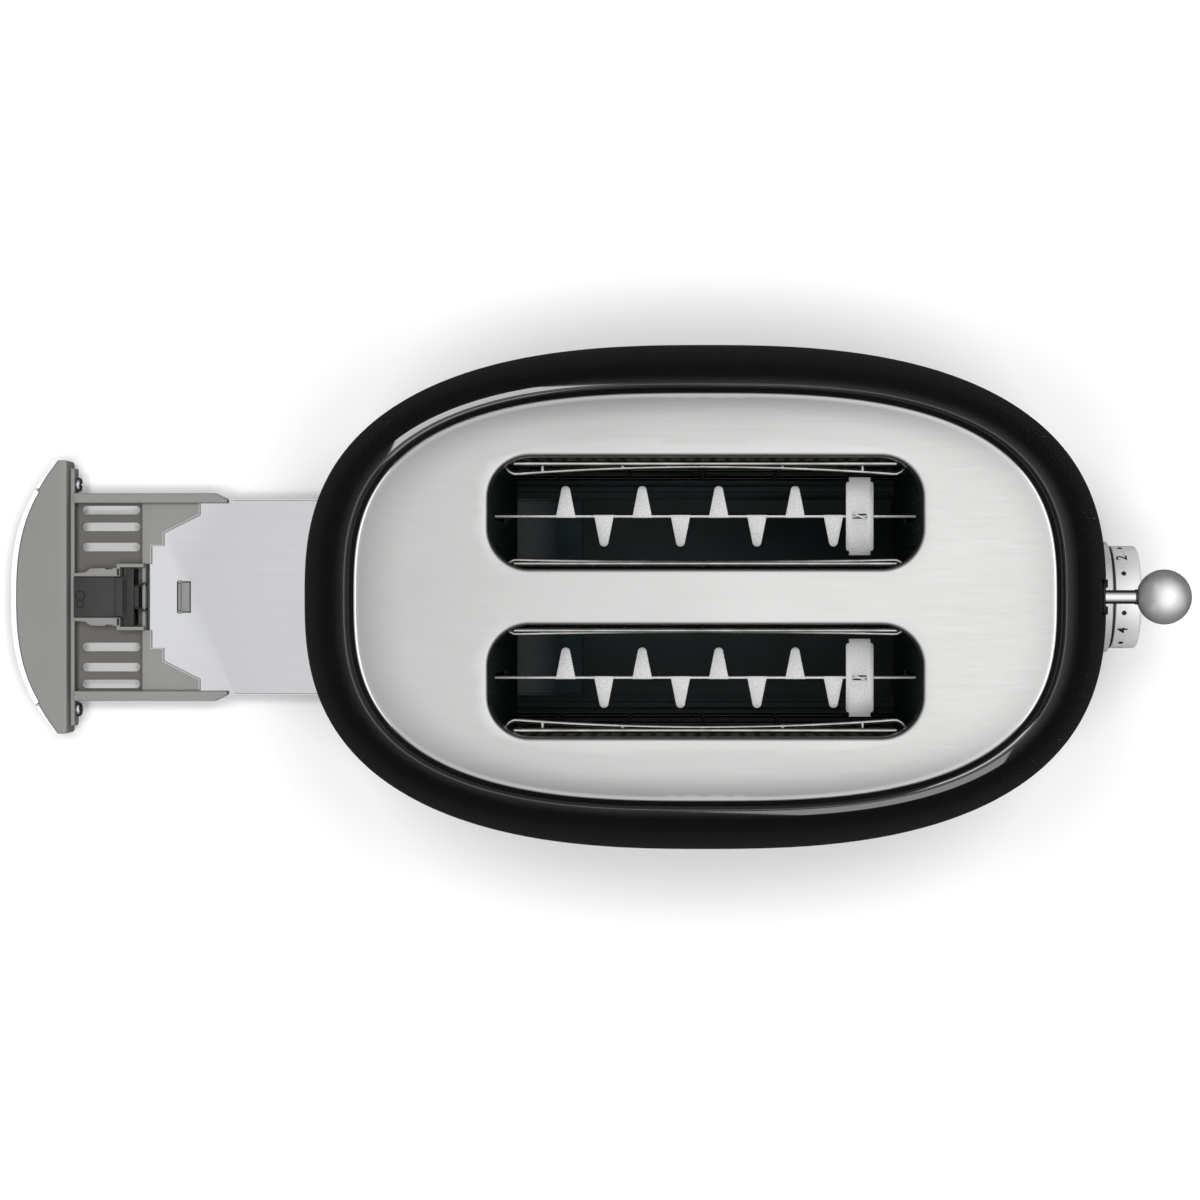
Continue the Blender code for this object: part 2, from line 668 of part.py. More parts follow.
def base_ring():
    rings = []
    for inset, height in (
        (RING_ROUND, RING_BOTTOM),
        (0, RING_BOTTOM + RING_ROUND),
        (0, RING_TOP - RING_ROUND),
        (RING_ROUND, RING_TOP),
        (RING_WALL, RING_TOP),
        (RING_WALL, RING_BOTTOM),
    ):
        rings.append(superellipse(BASE_HALF_LENGTH - inset, BASE_HALF_WIDTH - inset, BODY_EXPONENT, height))
    ring = loft("base_ring", rings, closed=True)
    mouth = COVER_HALF + COVER_SIDE_CLEARANCE
    return cut(
        ring,
        box("mouth", (COVER_FRONT - OVERRUN, -mouth, COVER_BOTTOM - GAP), (COVER_BACK, mouth, SHELL_BOTTOM)),
        rod(
            "gland_hole",
            "Y",
            (GLAND_ALONG, 0, GLAND_HEIGHT),
            GLAND_RADIUS + GAP,
            GLAND_WALL_Y - GLAND_LENGTH,
            BASE_HALF_WIDTH + OVERRUN,
            GLAND_SIDES,
        ),
    )


def corner_places(x, y):
    return [(side_x * x, side_y * y) for side_x in (-1, 1) for side_y in (-1, 1)]


def base_plate():
    inset = RING_WALL + GAP
    half_length, half_width = BASE_HALF_LENGTH - inset, BASE_HALF_WIDTH - inset
    outline = [point[:2] for point in superellipse(half_length, half_width, BODY_EXPONENT, BASE_PLATE_BOTTOM)]
    plate = prism("base_plate", outline, BASE_PLATE_BOTTOM, BASE_PLATE_TOP)
    root = BASE_PLATE_TOP - SINK
    for x, y in corner_places(POST_X, POST_Y):
        join(plate, rod("post", "Z", (x, y, 0), POST_RADIUS, root, CHASSIS_BOTTOM - GAP))
    guide = FRAME_SIDE + GUIDE_CLEARANCE
    start = COVER_BACK + GUIDE_START
    for side in (-1, 1):
        near, far = sorted((side * guide, side * (guide + GUIDE_WALL)))
        join(plate, box("guide", (start, near, root), (PAN_END + GUIDE_PAST_PAN, far, GUIDE_TOP)))
        near, far = sorted((side * (PAN_SIDE - GAP), side * (PAN_SIDE - SHELF_WIDTH)))
        shelf_end = PAN_END - SHELF_SHORT_OF_PAN
        low = (FLOOR_END + SHELF_START, near, root)
        join(plate, box("shelf", low, (shelf_end, far, PAN_BOTTOM - GAP)))
    for side in (-1, 1):
        near, far = sorted((side * BOARD_WIDTH / 2, side * (BOARD_WIDTH / 2 - RIB_WIDTH)))
        middle = BOARD_FRONT - BOARD_THICKNESS / 2
        low = (middle - RIB_DEPTH / 2, near, root)
        join(plate, box("rib", low, (middle + RIB_DEPTH / 2, far, BOARD_BOTTOM - GAP)))
    boss_top = BASE_PLATE_TOP + BOSS_HEIGHT
    join(plate, rod("boss", "Z", GUIDE_ROD_PLACE, BUSH_RADIUS, root, boss_top, BUSH_SIDES))
    cut(plate, rod("bore", "Z", GUIDE_ROD_PLACE, GUIDE_ROD_RADIUS + GAP, BASE_PLATE_TOP, boss_top + OVERRUN))
    below = BASE_PLATE_BOTTOM - OVERRUN
    for x, y in corner_places(POST_X, POST_Y):
        cut(
            plate,
            rod("screw_bore", "Z", (x, y, 0), SCREW_RADIUS + GAP, below, CHASSIS_BOTTOM, SCREW_SIDES),
            rod(
                "head_bore",
                "Z",
                (x, y, 0),
                SCREW_HEAD_RADIUS + GAP,
                below,
                BASE_PLATE_BOTTOM + COUNTERSINK_DEPTH,
            ),
        )
    notch = COVER_HALF + COVER_SIDE_CLEARANCE
    low = (COVER_FRONT - OVERRUN, -notch, below)
    return cut(plate, box("notch", low, (COVER_BACK + COVER_SIDE_CLEARANCE, notch, CHASSIS_BOTTOM)))


def foot(number, x, y):
    profile = [
        (FOOT_RADIUS - FOOT_ROUND, 0),
        (FOOT_RADIUS, FOOT_ROUND),
        (FOOT_RADIUS, FOOT_HEIGHT),
    ]
    return turned(f"foot_{number}", profile, "Z", (x, y, 0), FOOT_SIDES)


def base_screw(number, x, y):
    head_top = BASE_PLATE_BOTTOM + COUNTERSINK_DEPTH - GAP
    profile = [
        (SCREW_HEAD_RADIUS, head_top - SCREW_HEAD_HEIGHT),
        (SCREW_HEAD_RADIUS, head_top),
        (SCREW_RADIUS, head_top),
        (SCREW_RADIUS, CHASSIS_BOTTOM + SHEET + SCREW_TIP),
    ]
    return turned(f"base_screw_{number}", profile, "Z", (x, y, 0), SCREW_SIDES)


def end_plate(name, side):
    """A sheet across the toaster, with feet that stand on the base posts and slits for the lift bars."""
    near, far = sorted((side * (CHASSIS_HALF - SHEET / 2), side * (CHASSIS_HALF + SHEET / 2)))
    plate = box(name, (near, -CHASSIS_SIDE, CHASSIS_BOTTOM), (far, CHASSIS_SIDE, CHASSIS_TOP))
    flange_near, flange_far = sorted((side * CHASSIS_HALF, side * (CHASSIS_HALF + FLANGE_REACH)))
    for y_side in (-1, 1):
        low_y, high_y = sorted((y_side * (CHASSIS_SIDE - SINK), y_side * (CHASSIS_SIDE - FLANGE_WIDTH)))
        low = (flange_near, low_y, CHASSIS_BOTTOM + SINK)
        join(plate, box("flange", low, (flange_far, high_y, CHASSIS_BOTTOM + SHEET)))
        hole_place = (side * POST_X, y_side * POST_Y, 0)
        hole_top = CHASSIS_BOTTOM + SHEET + OVERRUN
        hole_bottom = CHASSIS_BOTTOM - OVERRUN
        cut(plate, rod("hole", "Z", hole_place, SCREW_RADIUS + GAP, hole_bottom, hole_top, SCREW_SIDES))
    if side > 0:
        low = (CHASSIS_HALF, GUIDE_ROD_OFFSET - BRACKET_WIDTH / 2, BRACKET_TOP - BRACKET_THICKNESS)
        high = (GUIDE_ROD_X + BRACKET_MARGIN, GUIDE_ROD_OFFSET + BRACKET_WIDTH / 2, BRACKET_TOP)
        join(plate, box("bracket", low, high))
        bottom = BRACKET_TOP - BRACKET_THICKNESS - OVERRUN
        cut(plate, rod("bore", "Z", GUIDE_ROD_PLACE, GUIDE_ROD_RADIUS + GAP, bottom, BRACKET_TOP + OVERRUN))
    half_slit = SHEET / 2 + BAR_SLIT_CLEARANCE
    slit_bottom = BAR_BOTTOM - LEVER_TRAVEL - BAR_SLIT_CLEARANCE
    for slot_side in (-1, 1):
        middle = slot_side * SLOT_Y
        low = (near - OVERRUN, middle - half_slit, slit_bottom)
        high = (far + OVERRUN, middle + half_slit, BAR_TOP + BAR_SLIT_CLEARANCE)
        cut(plate, box("slit", low, high))
        for guard_side in (-1, 1):
            place = (0, middle + guard_side * GUARD_OFFSET, GUARD_BOTTOM)
            radius = GUARD_WIRE_RADIUS + PIVOT_CLEARANCE
            cut(plate, rod("pivot", "X", place, radius, near - OVERRUN, far + OVERRUN, SCREW_SIDES))
    return plate


def cross_sheet(name, y, thickness, bottom, top):
    low = (-CHASSIS_INSIDE, y - thickness / 2, bottom)
    return box(name, low, (CHASSIS_INSIDE, y + thickness / 2, top))


def wire_along_x(name, points):
    """A wire through points that run along X, its section square to X."""
    rings = []
    for x, y, z in points:
        ring = []
        for i in range(WIRE_SIDES):
            angle = 2 * math.pi * (i + 0.5) / WIRE_SIDES
            ring.append((x, y + GUARD_WIRE_RADIUS * math.cos(angle), z + GUARD_WIRE_RADIUS * math.sin(angle)))
        rings.append(ring)
    return loft(name, rings)


def guard(name, slot_side, guard_side):
    """Upright wires on a hinge wire, crossed by level wires on the side away from the bread."""
    y = slot_side * SLOT_Y + guard_side * GUARD_OFFSET
    wire_flat = GUARD_WIRE_RADIUS * math.cos(math.pi / WIRE_SIDES)
    outside = y + guard_side * (2 * wire_flat - SINK)
    pivot_half = CHASSIS_HALF + PIVOT_REACH
    piece = wire_along_x(name, [(-pivot_half, y, GUARD_BOTTOM), (pivot_half, y, GUARD_BOTTOM)])
    bow_height = GUARD_TOP - GUARD_BOW_DROP
    bow = [(-GUARD_HALF, outside, bow_height)]
    for i in range(GUARD_UPRIGHTS):
        share = 2 * i / (GUARD_UPRIGHTS - 1) - 1
        x = share * GUARD_UPRIGHT_HALF + GUARD_SHIFT
        join(piece, rod("upright", "Z", (x, y, 0), GUARD_WIRE_RADIUS, GUARD_BOTTOM, GUARD_TOP, WIRE_SIDES))
        bow.append((x, outside + guard_side * GUARD_BOW * (1 - share**2), bow_height))
    bow.append((GUARD_HALF, outside, bow_height))
    for share in GUARD_LEVEL_SHARES:
        z = GUARD_BOTTOM + share * (GUARD_TOP - GUARD_BOTTOM)
        join(piece, wire_along_x("level", [(-GUARD_HALF, outside, z), (GUARD_HALF, outside, z)]))
    return join(piece, wire_along_x("bow", bow))


def lift_bar(name, slot_side):
    """A sheet on edge with its tabs bent out to each side in turn."""
    y = slot_side * SLOT_Y
    start = -(CHASSIS_HALF + BAR_OVERHANG)
    low = (start, y - SHEET / 2, BAR_BOTTOM)
    bar = box(name, low, (CARRIAGE_START - GAP, y + SHEET / 2, BAR_TOP))
    outline = []
    for tab_side, first in ((1, TAB_START), (-1, TAB_START + TAB_PITCH / 2)):
        edge = []
        for i in range(TAB_COUNT):
            middle = first + i * TAB_PITCH
            edge.append((middle - TAB_BASE / 2, 0))
            for step in range(TAB_TIP_STEPS + 1):
                angle = math.pi * (1 - step / TAB_TIP_STEPS)
                tip = TAB_TIP / 2
                edge.append((middle + tip * math.cos(angle), TAB_REACH - tip + tip * math.sin(angle)))
            edge.append((middle + TAB_BASE / 2, 0))
        strip = SHEET / 4
        edge = [(x, y + tab_side * (strip + along)) for x, along in edge]
        outline += edge if tab_side > 0 else edge[::-1]
    return join(bar, prism("tabs", outline, BAR_TOP - SHEET - SINK, BAR_TOP - SINK))


def bread_pad(name, slot_side):
    """The cross strip that lies on the lift bar, with its ends bent down."""
    y = slot_side * SLOT_Y
    bottom = BAR_TOP + GAP
    end = PAD_START + PAD_LENGTH
    pad = box(name, (PAD_START, y - PAD_WIDTH / 2, bottom), (end, y + PAD_WIDTH / 2, bottom + SHEET))
    for side in (-1, 1):
        near, far = sorted((y + side * (PAD_WIDTH / 2 - SINK), y + side * (PAD_WIDTH / 2 - SHEET)))
        low = (PAD_START + PAD_NOTCH, near, bottom - PAD_LIP)
        join(pad, box("lip", low, (end - PAD_NOTCH, far, bottom + SINK)))
    return pad


def carriage():
    half = CARRIAGE_WIDTH / 2
    piece = box("carriage", (CARRIAGE_START, -half, CARRIAGE_BOTTOM), (CARRIAGE_END, half, CARRIAGE_TOP))
    low = (CARRIAGE_START + SINK, MAGNET_OFFSET - MAGNET_SIZE / 2, ARMATURE_TOP + GAP)
    high = (MAGNET_X + MAGNET_SIZE / 2, MAGNET_OFFSET + MAGNET_SIZE / 2, ARMATURE_TOP + GAP + ARM_THICKNESS)
    join(piece, box("arm", low, high))
    bottom, top = CARRIAGE_BOTTOM, CARRIAGE_TOP
    join(piece, rod("bush", "Z", GUIDE_ROD_PLACE, BUSH_RADIUS, bottom + SINK, top, BUSH_SIDES))
    radius = GUIDE_ROD_RADIUS + GUIDE_ROD_CLEARANCE
    return cut(piece, rod("bore", "Z", GUIDE_ROD_PLACE, radius, bottom - OVERRUN, top + OVERRUN))


def armature():
    return centred_box(
        "armature",
        (MAGNET_X, MAGNET_OFFSET, ARMATURE_TOP - ARMATURE_THICKNESS / 2),
        (MAGNET_SIZE, MAGNET_SIZE, ARMATURE_THICKNESS),
    )


def magnet_core():
    """An I-shaped iron core, standing on the base plate by its post."""
    pole_bottom = MAGNET_TOP - MAGNET_POLE
    core = box(
        "magnet_core",
        (MAGNET_X - MAGNET_POST / 2, MAGNET_OFFSET - MAGNET_POST / 2, BASE_PLATE_TOP + GAP),
        (MAGNET_X + MAGNET_POST / 2, MAGNET_OFFSET + MAGNET_POST / 2, pole_bottom + SINK),
    )
    shelf_top = pole_bottom - MAGNET_COIL_HEIGHT - 2 * GAP
    for top in (MAGNET_TOP, shelf_top):
        middle = (MAGNET_X, MAGNET_OFFSET, top - MAGNET_POLE / 2)
        join(core, centred_box("pole", middle, (MAGNET_SIZE, MAGNET_SIZE, MAGNET_POLE)))
    return core


def magnet_coil():
    middle = (MAGNET_X, MAGNET_OFFSET, MAGNET_TOP - MAGNET_POLE - GAP - MAGNET_COIL_HEIGHT / 2)
    size = MAGNET_SIZE - 2 * GAP
    coil = centred_box("magnet_coil", middle, (size, size, MAGNET_COIL_HEIGHT))
    bore = MAGNET_POST + 2 * GAP
    return cut(coil, centred_box("bore", middle, (bore, bore, MAGNET_COIL_HEIGHT + 2 * OVERRUN)))


def return_spring():
    """One unbroken coil round the guide rod, between the base boss and the carriage bush."""
    bottom = BASE_PLATE_TOP + BOSS_HEIGHT + GAP + SPRING_WIRE_RADIUS
    top = CARRIAGE_BOTTOM - GAP - SPRING_WIRE_RADIUS
    pitch = (top - bottom) / SPRING_TURNS
    print(f"return_spring: least gap between turns {pitch - 2 * SPRING_WIRE_RADIUS:.4f} m")
    steps = SPRING_TURNS * POINTS_PER_TURN
    curve = bpy.data.curves.new("return_spring", "CURVE")
    curve.dimensions = "3D"
    curve.bevel_depth = SPRING_WIRE_RADIUS
    curve.bevel_resolution = 1
    curve.use_fill_caps = True
    spline = curve.splines.new("POLY")
    spline.points.add(steps)
    for i, point in enumerate(spline.points):
        angle = 2 * math.pi * i / POINTS_PER_TURN
        x = GUIDE_ROD_X + SPRING_COIL_RADIUS * math.cos(angle)
        y = GUIDE_ROD_OFFSET + SPRING_COIL_RADIUS * math.sin(angle)
        point.co = (x, y, bottom + (top - bottom) * i / steps, 1)
    piece = bpy.data.objects.new("return_spring", curve)
    bpy.context.scene.collection.objects.link(piece)
    bpy.context.view_layer.update()
    graph = bpy.context.evaluated_depsgraph_get()
    mesh = bpy.data.meshes.new_from_object(piece.evaluated_get(graph))
    bpy.data.objects.remove(piece)
    points = [vertex.co for vertex in mesh.vertices]
    coil = solid("return_spring", points, [tuple(polygon.vertices) for polygon in mesh.polygons])
    shape = bmesh.new()
    shape.from_mesh(coil.data)
    bmesh.ops.remove_doubles(shape, verts=shape.verts, dist=SPRING_WIRE_RADIUS / 100)
    bmesh.ops.recalc_face_normals(shape, faces=shape.faces)
    shape.to_mesh(coil.data)
    shape.free()
    return coil


def guide_rod():
    top = BRACKET_TOP + GUIDE_ROD_END
    return rod("guide_rod", "Z", GUIDE_ROD_PLACE, GUIDE_ROD_RADIUS, BASE_PLATE_TOP + GAP, top)


def lever_stem():
    end = BALL_X - BALL_RADIUS + BALL_BORE_DEPTH - GAP
    return rod("lever_stem", "X", (0, 0, LEVER_Z), STEM_RADIUS, CARRIAGE_END + GAP, end, STEM_SIDES)


def lever_neck():
    end = BALL_X - BALL_RADIUS - GAP
    start = end - NECK_LENGTH
    bore = STEM_RADIUS + GAP
    profile = [(bore, start), (NECK_RADIUS, start), (NECK_RADIUS, end), (bore, end)]
    return turned("lever_neck", profile, "X", (0, 0, LEVER_Z), STEM_SIDES, hollow=True)


def lever_ball():
    bore = STEM_RADIUS + GAP
    start = math.pi - math.asin(bore / BALL_RADIUS)
    steps = BALL_SIDES // 2
    bottom = BALL_X - BALL_RADIUS + BALL_BORE_DEPTH
    profile = [(0, bottom), (bore, bottom)]
    for step in range(steps):
        angle = start * (1 - step / steps)
        profile.append((BALL_RADIUS * math.sin(angle), BALL_X + BALL_RADIUS * math.cos(angle)))
    profile.append((0, BALL_X + BALL_RADIUS))
    return turned("lever_ball", profile, "X", (0, 0, LEVER_Z), BALL_SIDES)


def lever_trim():
    """A strip that follows the shell's outer face round the lever's slot."""
    half = TRIM_WIDTH / 2
    bottom, top = LEVER_SLOT_BOTTOM - TRIM_MARGIN, LEVER_SLOT_TOP + TRIM_MARGIN
    rings = []
    for step in range(TRIM_STEPS + 1):
        z = bottom + (top - bottom) * step / TRIM_STEPS
        near = body_face(z) + GAP
        far = near + TRIM_THICKNESS
        rings.append([(near, -half, z), (far, -half, z), (far, half, z), (near, half, z)])
    strip = loft("lever_trim", rings)
    low = (HALF_LENGTH - SHOULDER_ALONG, -LEVER_SLOT_HALF, LEVER_SLOT_BOTTOM)
    return cut(strip, box("slot", low, (BALL_X, LEVER_SLOT_HALF, LEVER_SLOT_TOP)))


def button_places():
    places = []
    for i in range(BUTTON_COUNT):
        angle = math.radians((i - (BUTTON_COUNT - 1) / 2) * BUTTON_SPREAD_DEG)
        places.append((BUTTON_ORBIT * math.sin(angle), DIAL_HEIGHT - BUTTON_ORBIT * math.cos(angle)))
    return places


def control_board():
    low = (BOARD_FRONT - BOARD_THICKNESS, -BOARD_WIDTH / 2, BOARD_BOTTOM)
    return box("control_board", low, (BOARD_FRONT, BOARD_WIDTH / 2, DIAL_HEIGHT + BOARD_ABOVE_DIAL))


def potentiometer():
    start = BOARD_FRONT + GAP
    middle = (start + POT_DEPTH / 2, 0, DIAL_HEIGHT)
    pot = centred_box("potentiometer", middle, (POT_DEPTH, POT_SIZE, POT_SIZE))
    place = (0, 0, DIAL_HEIGHT)
    join(pot, rod("bush", "X", place, POT_BUSH_RADIUS, start + SINK, POT_END, BUSH_SIDES))
    bore = DIAL_SHAFT_RADIUS + POT_BORE_CLEARANCE
    return cut(pot, rod("bore", "X", place, bore, start + POT_DEPTH, POT_END + OVERRUN))


def switch(number, y, z):
    middle = (BOARD_FRONT + GAP + SWITCH_DEPTH / 2, y, z)
    return centred_box(f"switch_{number}", middle, (SWITCH_DEPTH, SWITCH_SIZE, SWITCH_SIZE))


def push_button(number, y, z):
    face = body_face(z, y)
    start = BOARD_FRONT + 2 * GAP + SWITCH_DEPTH + BUTTON_TRAVEL
    front = face + BUTTON_PROUD
    profile = [
        (BUTTON_RADIUS, start),
        (BUTTON_RADIUS, front - BUTTON_ROUND),
        (BUTTON_RADIUS - BUTTON_ROUND, front),
    ]
    return turned(f"push_button_{number}", profile, "X", (0, y, z), BUTTON_SIDES)


def dial_bezel():
    """A cup through the shell, whose rim stands round the dial."""
    hole = DIAL_SHAFT_RADIUS + SHAFT_HOLE_CLEARANCE
    bore = DIAL_RADIUS + BEZEL_BORE_GAP
    profile = [
        (hole, BEZEL_BACK),
        (BEZEL_RADIUS, BEZEL_BACK),
        (BEZEL_RADIUS, BEZEL_FRONT - BEZEL_ROUND),
        (BEZEL_RADIUS - BEZEL_ROUND, BEZEL_FRONT),
        (bore, BEZEL_FRONT),
        (bore, BEZEL_BACK + BEZEL_FLOOR),
        (hole, BEZEL_BACK + BEZEL_FLOOR),
    ]
    return turned("dial_bezel", profile, "X", (0, 0, DIAL_HEIGHT), DIAL_SIDES, hollow=True)


def dial():
    back = BEZEL_BACK + BEZEL_FLOOR + GAP
    front = HALF_LENGTH + DIAL_PROUD
    profile = [
        (DIAL_SHAFT_RADIUS, BOARD_FRONT + POT_DEPTH + 2 * GAP),
        (DIAL_SHAFT_RADIUS, back),
        (DIAL_RADIUS, back),
        (DIAL_RADIUS, front - DIAL_CROWN - DIAL_EDGE),
        (DIAL_RADIUS - DIAL_EDGE / 3, front - DIAL_CROWN - DIAL_EDGE / 3),
        (DIAL_RADIUS - DIAL_EDGE, front - DIAL_CROWN),
        (0, front),
    ]
    return turned("dial", profile, "X", (0, 0, DIAL_HEIGHT), DIAL_SIDES)


def cord_gland():
    end = GLAND_WALL_Y + GLAND_PROUD
    start = end - GLAND_LENGTH
    profile = [(GLAND_BORE, start), (GLAND_RADIUS, start), (GLAND_RADIUS, end), (GLAND_BORE, end)]
    return turned("cord_gland", profile, "Y", (GLAND_ALONG, 0, GLAND_HEIGHT), GLAND_SIDES, hollow=True)


def terminal_block():
    far = GLAND_WALL_Y - TERMINAL_INSET
    low = (GLAND_ALONG - TERMINAL_LENGTH / 2, far - TERMINAL_WIDTH, BASE_PLATE_TOP + GAP)
    return box("terminal_block", low, (GLAND_ALONG + TERMINAL_LENGTH / 2, far, low[2] + TERMINAL_HEIGHT))


def front_x(y):
    return -reach(BASE_HALF_LENGTH, BASE_HALF_WIDTH, BODY_EXPONENT, y)


def skin_depth(y):
    return SKIN_DEPTH * max(1 - (y / SKIN_HALF_WIDTH) ** 2, 0)


def steps_across(half):
    return [half * (2 * step / COVER_ARC_STEPS - 1) for step in range(COVER_ARC_STEPS + 1)]


def tray_cover():
    """The tray's grip, which closes the base ring: its front follows the ring behind the bright skin."""
    across = steps_across(COVER_HALF)
    outline = [(front_x(y) + skin_depth(y) + GAP, y) for y in across]
    outline += [(COVER_BACK, COVER_HALF), (COVER_BACK, -COVER_HALF)]
    cover = prism("tray_cover", outline, COVER_BOTTOM, COVER_TOP)
    for side in (-1, 1):
        place = (0, side * TRAY_SCREW_OFFSET, TRAY_SCREW_HEIGHT)
        start = COVER_BACK - TRAY_SCREW_LENGTH
        cut(cover, rod("bore", "X", place, TRAY_SCREW_RADIUS + GAP, start, COVER_BACK + OVERRUN, SCREW_SIDES))
    return cover


def tray_skin():
    across = steps_across(SKIN_HALF_WIDTH * SKIN_END_SHARE)
    outline = [(front_x(y), y) for y in across]
    outline += [(front_x(y) + skin_depth(y), y) for y in reversed(across)]
    return prism("tray_skin", outline, COVER_BOTTOM, COVER_TOP)


def both_sides(piece, name, x_span, y_span, z_span):
    """Joins a box and its twin across the middle to the piece."""
    for side in (-1, 1):
        near, far = sorted((side * y_span[0], side * y_span[1]))
        join(piece, box(name, (x_span[0], near, z_span[0]), (x_span[1], far, z_span[1])))
    return piece


def side_place(share):
    """A place between the latch's pocket and the rail."""
    return POCKET_OUTSIDE + share * (RAIL_INSIDE - POCKET_OUTSIDE)


def tray_frame():
    """The plastic frame between cover and pan: vent floor, rails, wings and the latch's pocket."""
    start, end = FLOOR_START - SINK, FLOOR_END
    bottom = FRAME_FLOOR_BOTTOM
    half = COVER_HALF - FRAME_FLANGE_INSET
    frame = box("tray_frame", (FLANGE_START, -half, bottom), (FLOOR_START, half, FRAME_FLANGE_TOP))
    side = FRAME_SIDE - SINK
    join(frame, box("floor", (start, -side, bottom + SINK), (end - SINK, side, FLOOR_TOP)))
    riser_top = WING_BOTTOM + WING_THICKNESS - SINK
    join(frame, box("riser", (end - RISER_THICKNESS, -side, bottom), (end, side, riser_top)))
    rail_end = FLOOR_START + RAIL_LENGTH
    both_sides(frame, "rail", (start, rail_end), (RAIL_INSIDE, FRAME_SIDE), (WING_BOTTOM, RAIL_TOP))
    tip, slope, step = (side_place(share) for share in WING_SIDE_SHARES)
    outside = PAN_SIDE + PAN_SIDE_CLEARANCE
    both_sides(frame, "skirt", (start, rail_end - SINK), (outside, side), (bottom, WING_BOTTOM + SINK))
    for sign in (-1, 1):
        corner = FRAME_SIDE + OVERRUN
        wedge = [
            (rail_end - RAIL_CHAMFER, sign * corner),
            (rail_end + OVERRUN, sign * corner),
            (rail_end + OVERRUN, sign * (FRAME_SIDE - RAIL_CHAMFER)),
        ]
        cut(frame, prism("chamfer", wedge, bottom - OVERRUN, RAIL_TOP + OVERRUN))
        root = end - RISER_THICKNESS + SINK
        wing = [
            (root, RAIL_INSIDE + SINK),
            (end + WING_REACH, RAIL_INSIDE + SINK),
            (end + WING_REACH, tip),
            (end + WING_MIDDLE_REACH, slope),
            (end + WING_MIDDLE_REACH, step),
            (end + WING_INNER_REACH, step),
            (end + WING_INNER_REACH, POCKET_OUTSIDE),
            (root, POCKET_OUTSIDE),
        ]
        outline = [(x, sign * y) for x, y in wing]
        join(frame, prism("wing", outline, WING_BOTTOM, WING_BOTTOM + WING_THICKNESS))
    head_inner, head_outer = POCKET_HEAD_HALF, POCKET_OUTSIDE
    wall_span = (start, POCKET_STEP - SINK)
    height = (FLOOR_TOP - SINK, POCKET_TOP)
    both_sides(frame, "pocket", wall_span, (POCKET_HALF, POCKET_HALF + POCKET_WALL), height)
    step_span = (POCKET_STEP - POCKET_STEP_WALL, POCKET_STEP)
    height = (FLOOR_TOP - SINK, POCKET_TOP - SINK)
    both_sides(frame, "step", step_span, (POCKET_HALF + SINK, head_outer - SINK), height)
    height = (FLOOR_TOP - SINK, POCKET_TOP)
    both_sides(frame, "head_wall", (POCKET_STEP - SINK, end - SINK), (head_inner, head_outer), height)
    low = (end - RISER_THICKNESS, -head_inner - SINK, bottom + SINK)
    join(frame, box("backing", low, (end - SINK, head_inner + SINK, BACKING_TOP)))
    for share in VENT_SIDE_SHARES:
        for sign in (-1, 1):
            middle = FLOOR_START + VENT_START + VENT_LENGTH / 2
            offset = sign * side_place(share)
            outline = rounded_outline(middle, offset, VENT_LENGTH, VENT_WIDTH, VENT_WIDTH / 2)
            cut(frame, prism("vent", outline, bottom - OVERRUN, FLOOR_TOP + OVERRUN))
    for sign in (-1, 1):
        place = (0, sign * TRAY_SCREW_OFFSET, TRAY_SCREW_HEIGHT)
        radius = TRAY_SCREW_RADIUS + GAP
        cut(frame, rod("bore", "X", place, radius, COVER_BACK, FLOOR_START + OVERRUN, SCREW_SIDES))
    return frame


def crumb_pan():
    start = FLOOR_END + PAN_START_GAP
    pan = box("crumb_pan", (start, -PAN_SIDE, PAN_BOTTOM), (PAN_END, PAN_SIDE, PAN_TOP))
    lip_start = FLOOR_START + RAIL_LENGTH + PAN_LIP_START
    lip_top = PAN_BOTTOM + PAN_LIP_HEIGHT
    lip_end = PAN_END - SINK
    edge = PAN_SIDE - SINK
    both_sides(pan, "lip", (lip_start, lip_end), (PAN_SIDE - SHEET, edge), (PAN_TOP - SINK, lip_top))
    low = (PAN_END - SHEET, -PAN_SIDE, PAN_TOP - SINK)
    join(pan, box("end_lip", low, (PAN_END - SINK / 2, PAN_SIDE, lip_top - SINK)))
    window_start = start + WINDOW_START
    low = (window_start, -WINDOW_WIDTH / 2, PAN_BOTTOM - OVERRUN)
    return cut(pan, box("window", low, (window_start + WINDOW_LENGTH, WINDOW_WIDTH / 2, PAN_TOP + OVERRUN)))


def pan_clip():
    """The tab that holds the pan in its window."""
    start = FLOOR_END + PAN_START_GAP + WINDOW_START + CLIP_CLEARANCE
    half = WINDOW_WIDTH / 2 - CLIP_CLEARANCE
    end = start + WINDOW_LENGTH - 2 * CLIP_CLEARANCE
    bottom = PAN_BOTTOM - CLIP_HEIGHT / 2
    return box("pan_clip", (start, -half, bottom), (end, half, bottom + CLIP_HEIGHT))


def latch_housing():
    half = POCKET_HALF - GAP
    low = (FLOOR_START + GAP, -half, FLOOR_TOP + GAP)
    housing = box("latch_housing", low, (LATCH_END, half, LATCH_TOP))
    shaft = LATCH_SHAFT_HALF + GAP
    depth = LATCH_SHAFT_LENGTH + LATCH_TRAVEL + LATCH_TRAVEL_SPARE
    low = (LATCH_END - depth, -shaft, LATCH_SHAFT_BOTTOM - GAP)
    return cut(housing, box("bore", low, (LATCH_END + OVERRUN, shaft, LATCH_SHAFT_TOP + GAP)))


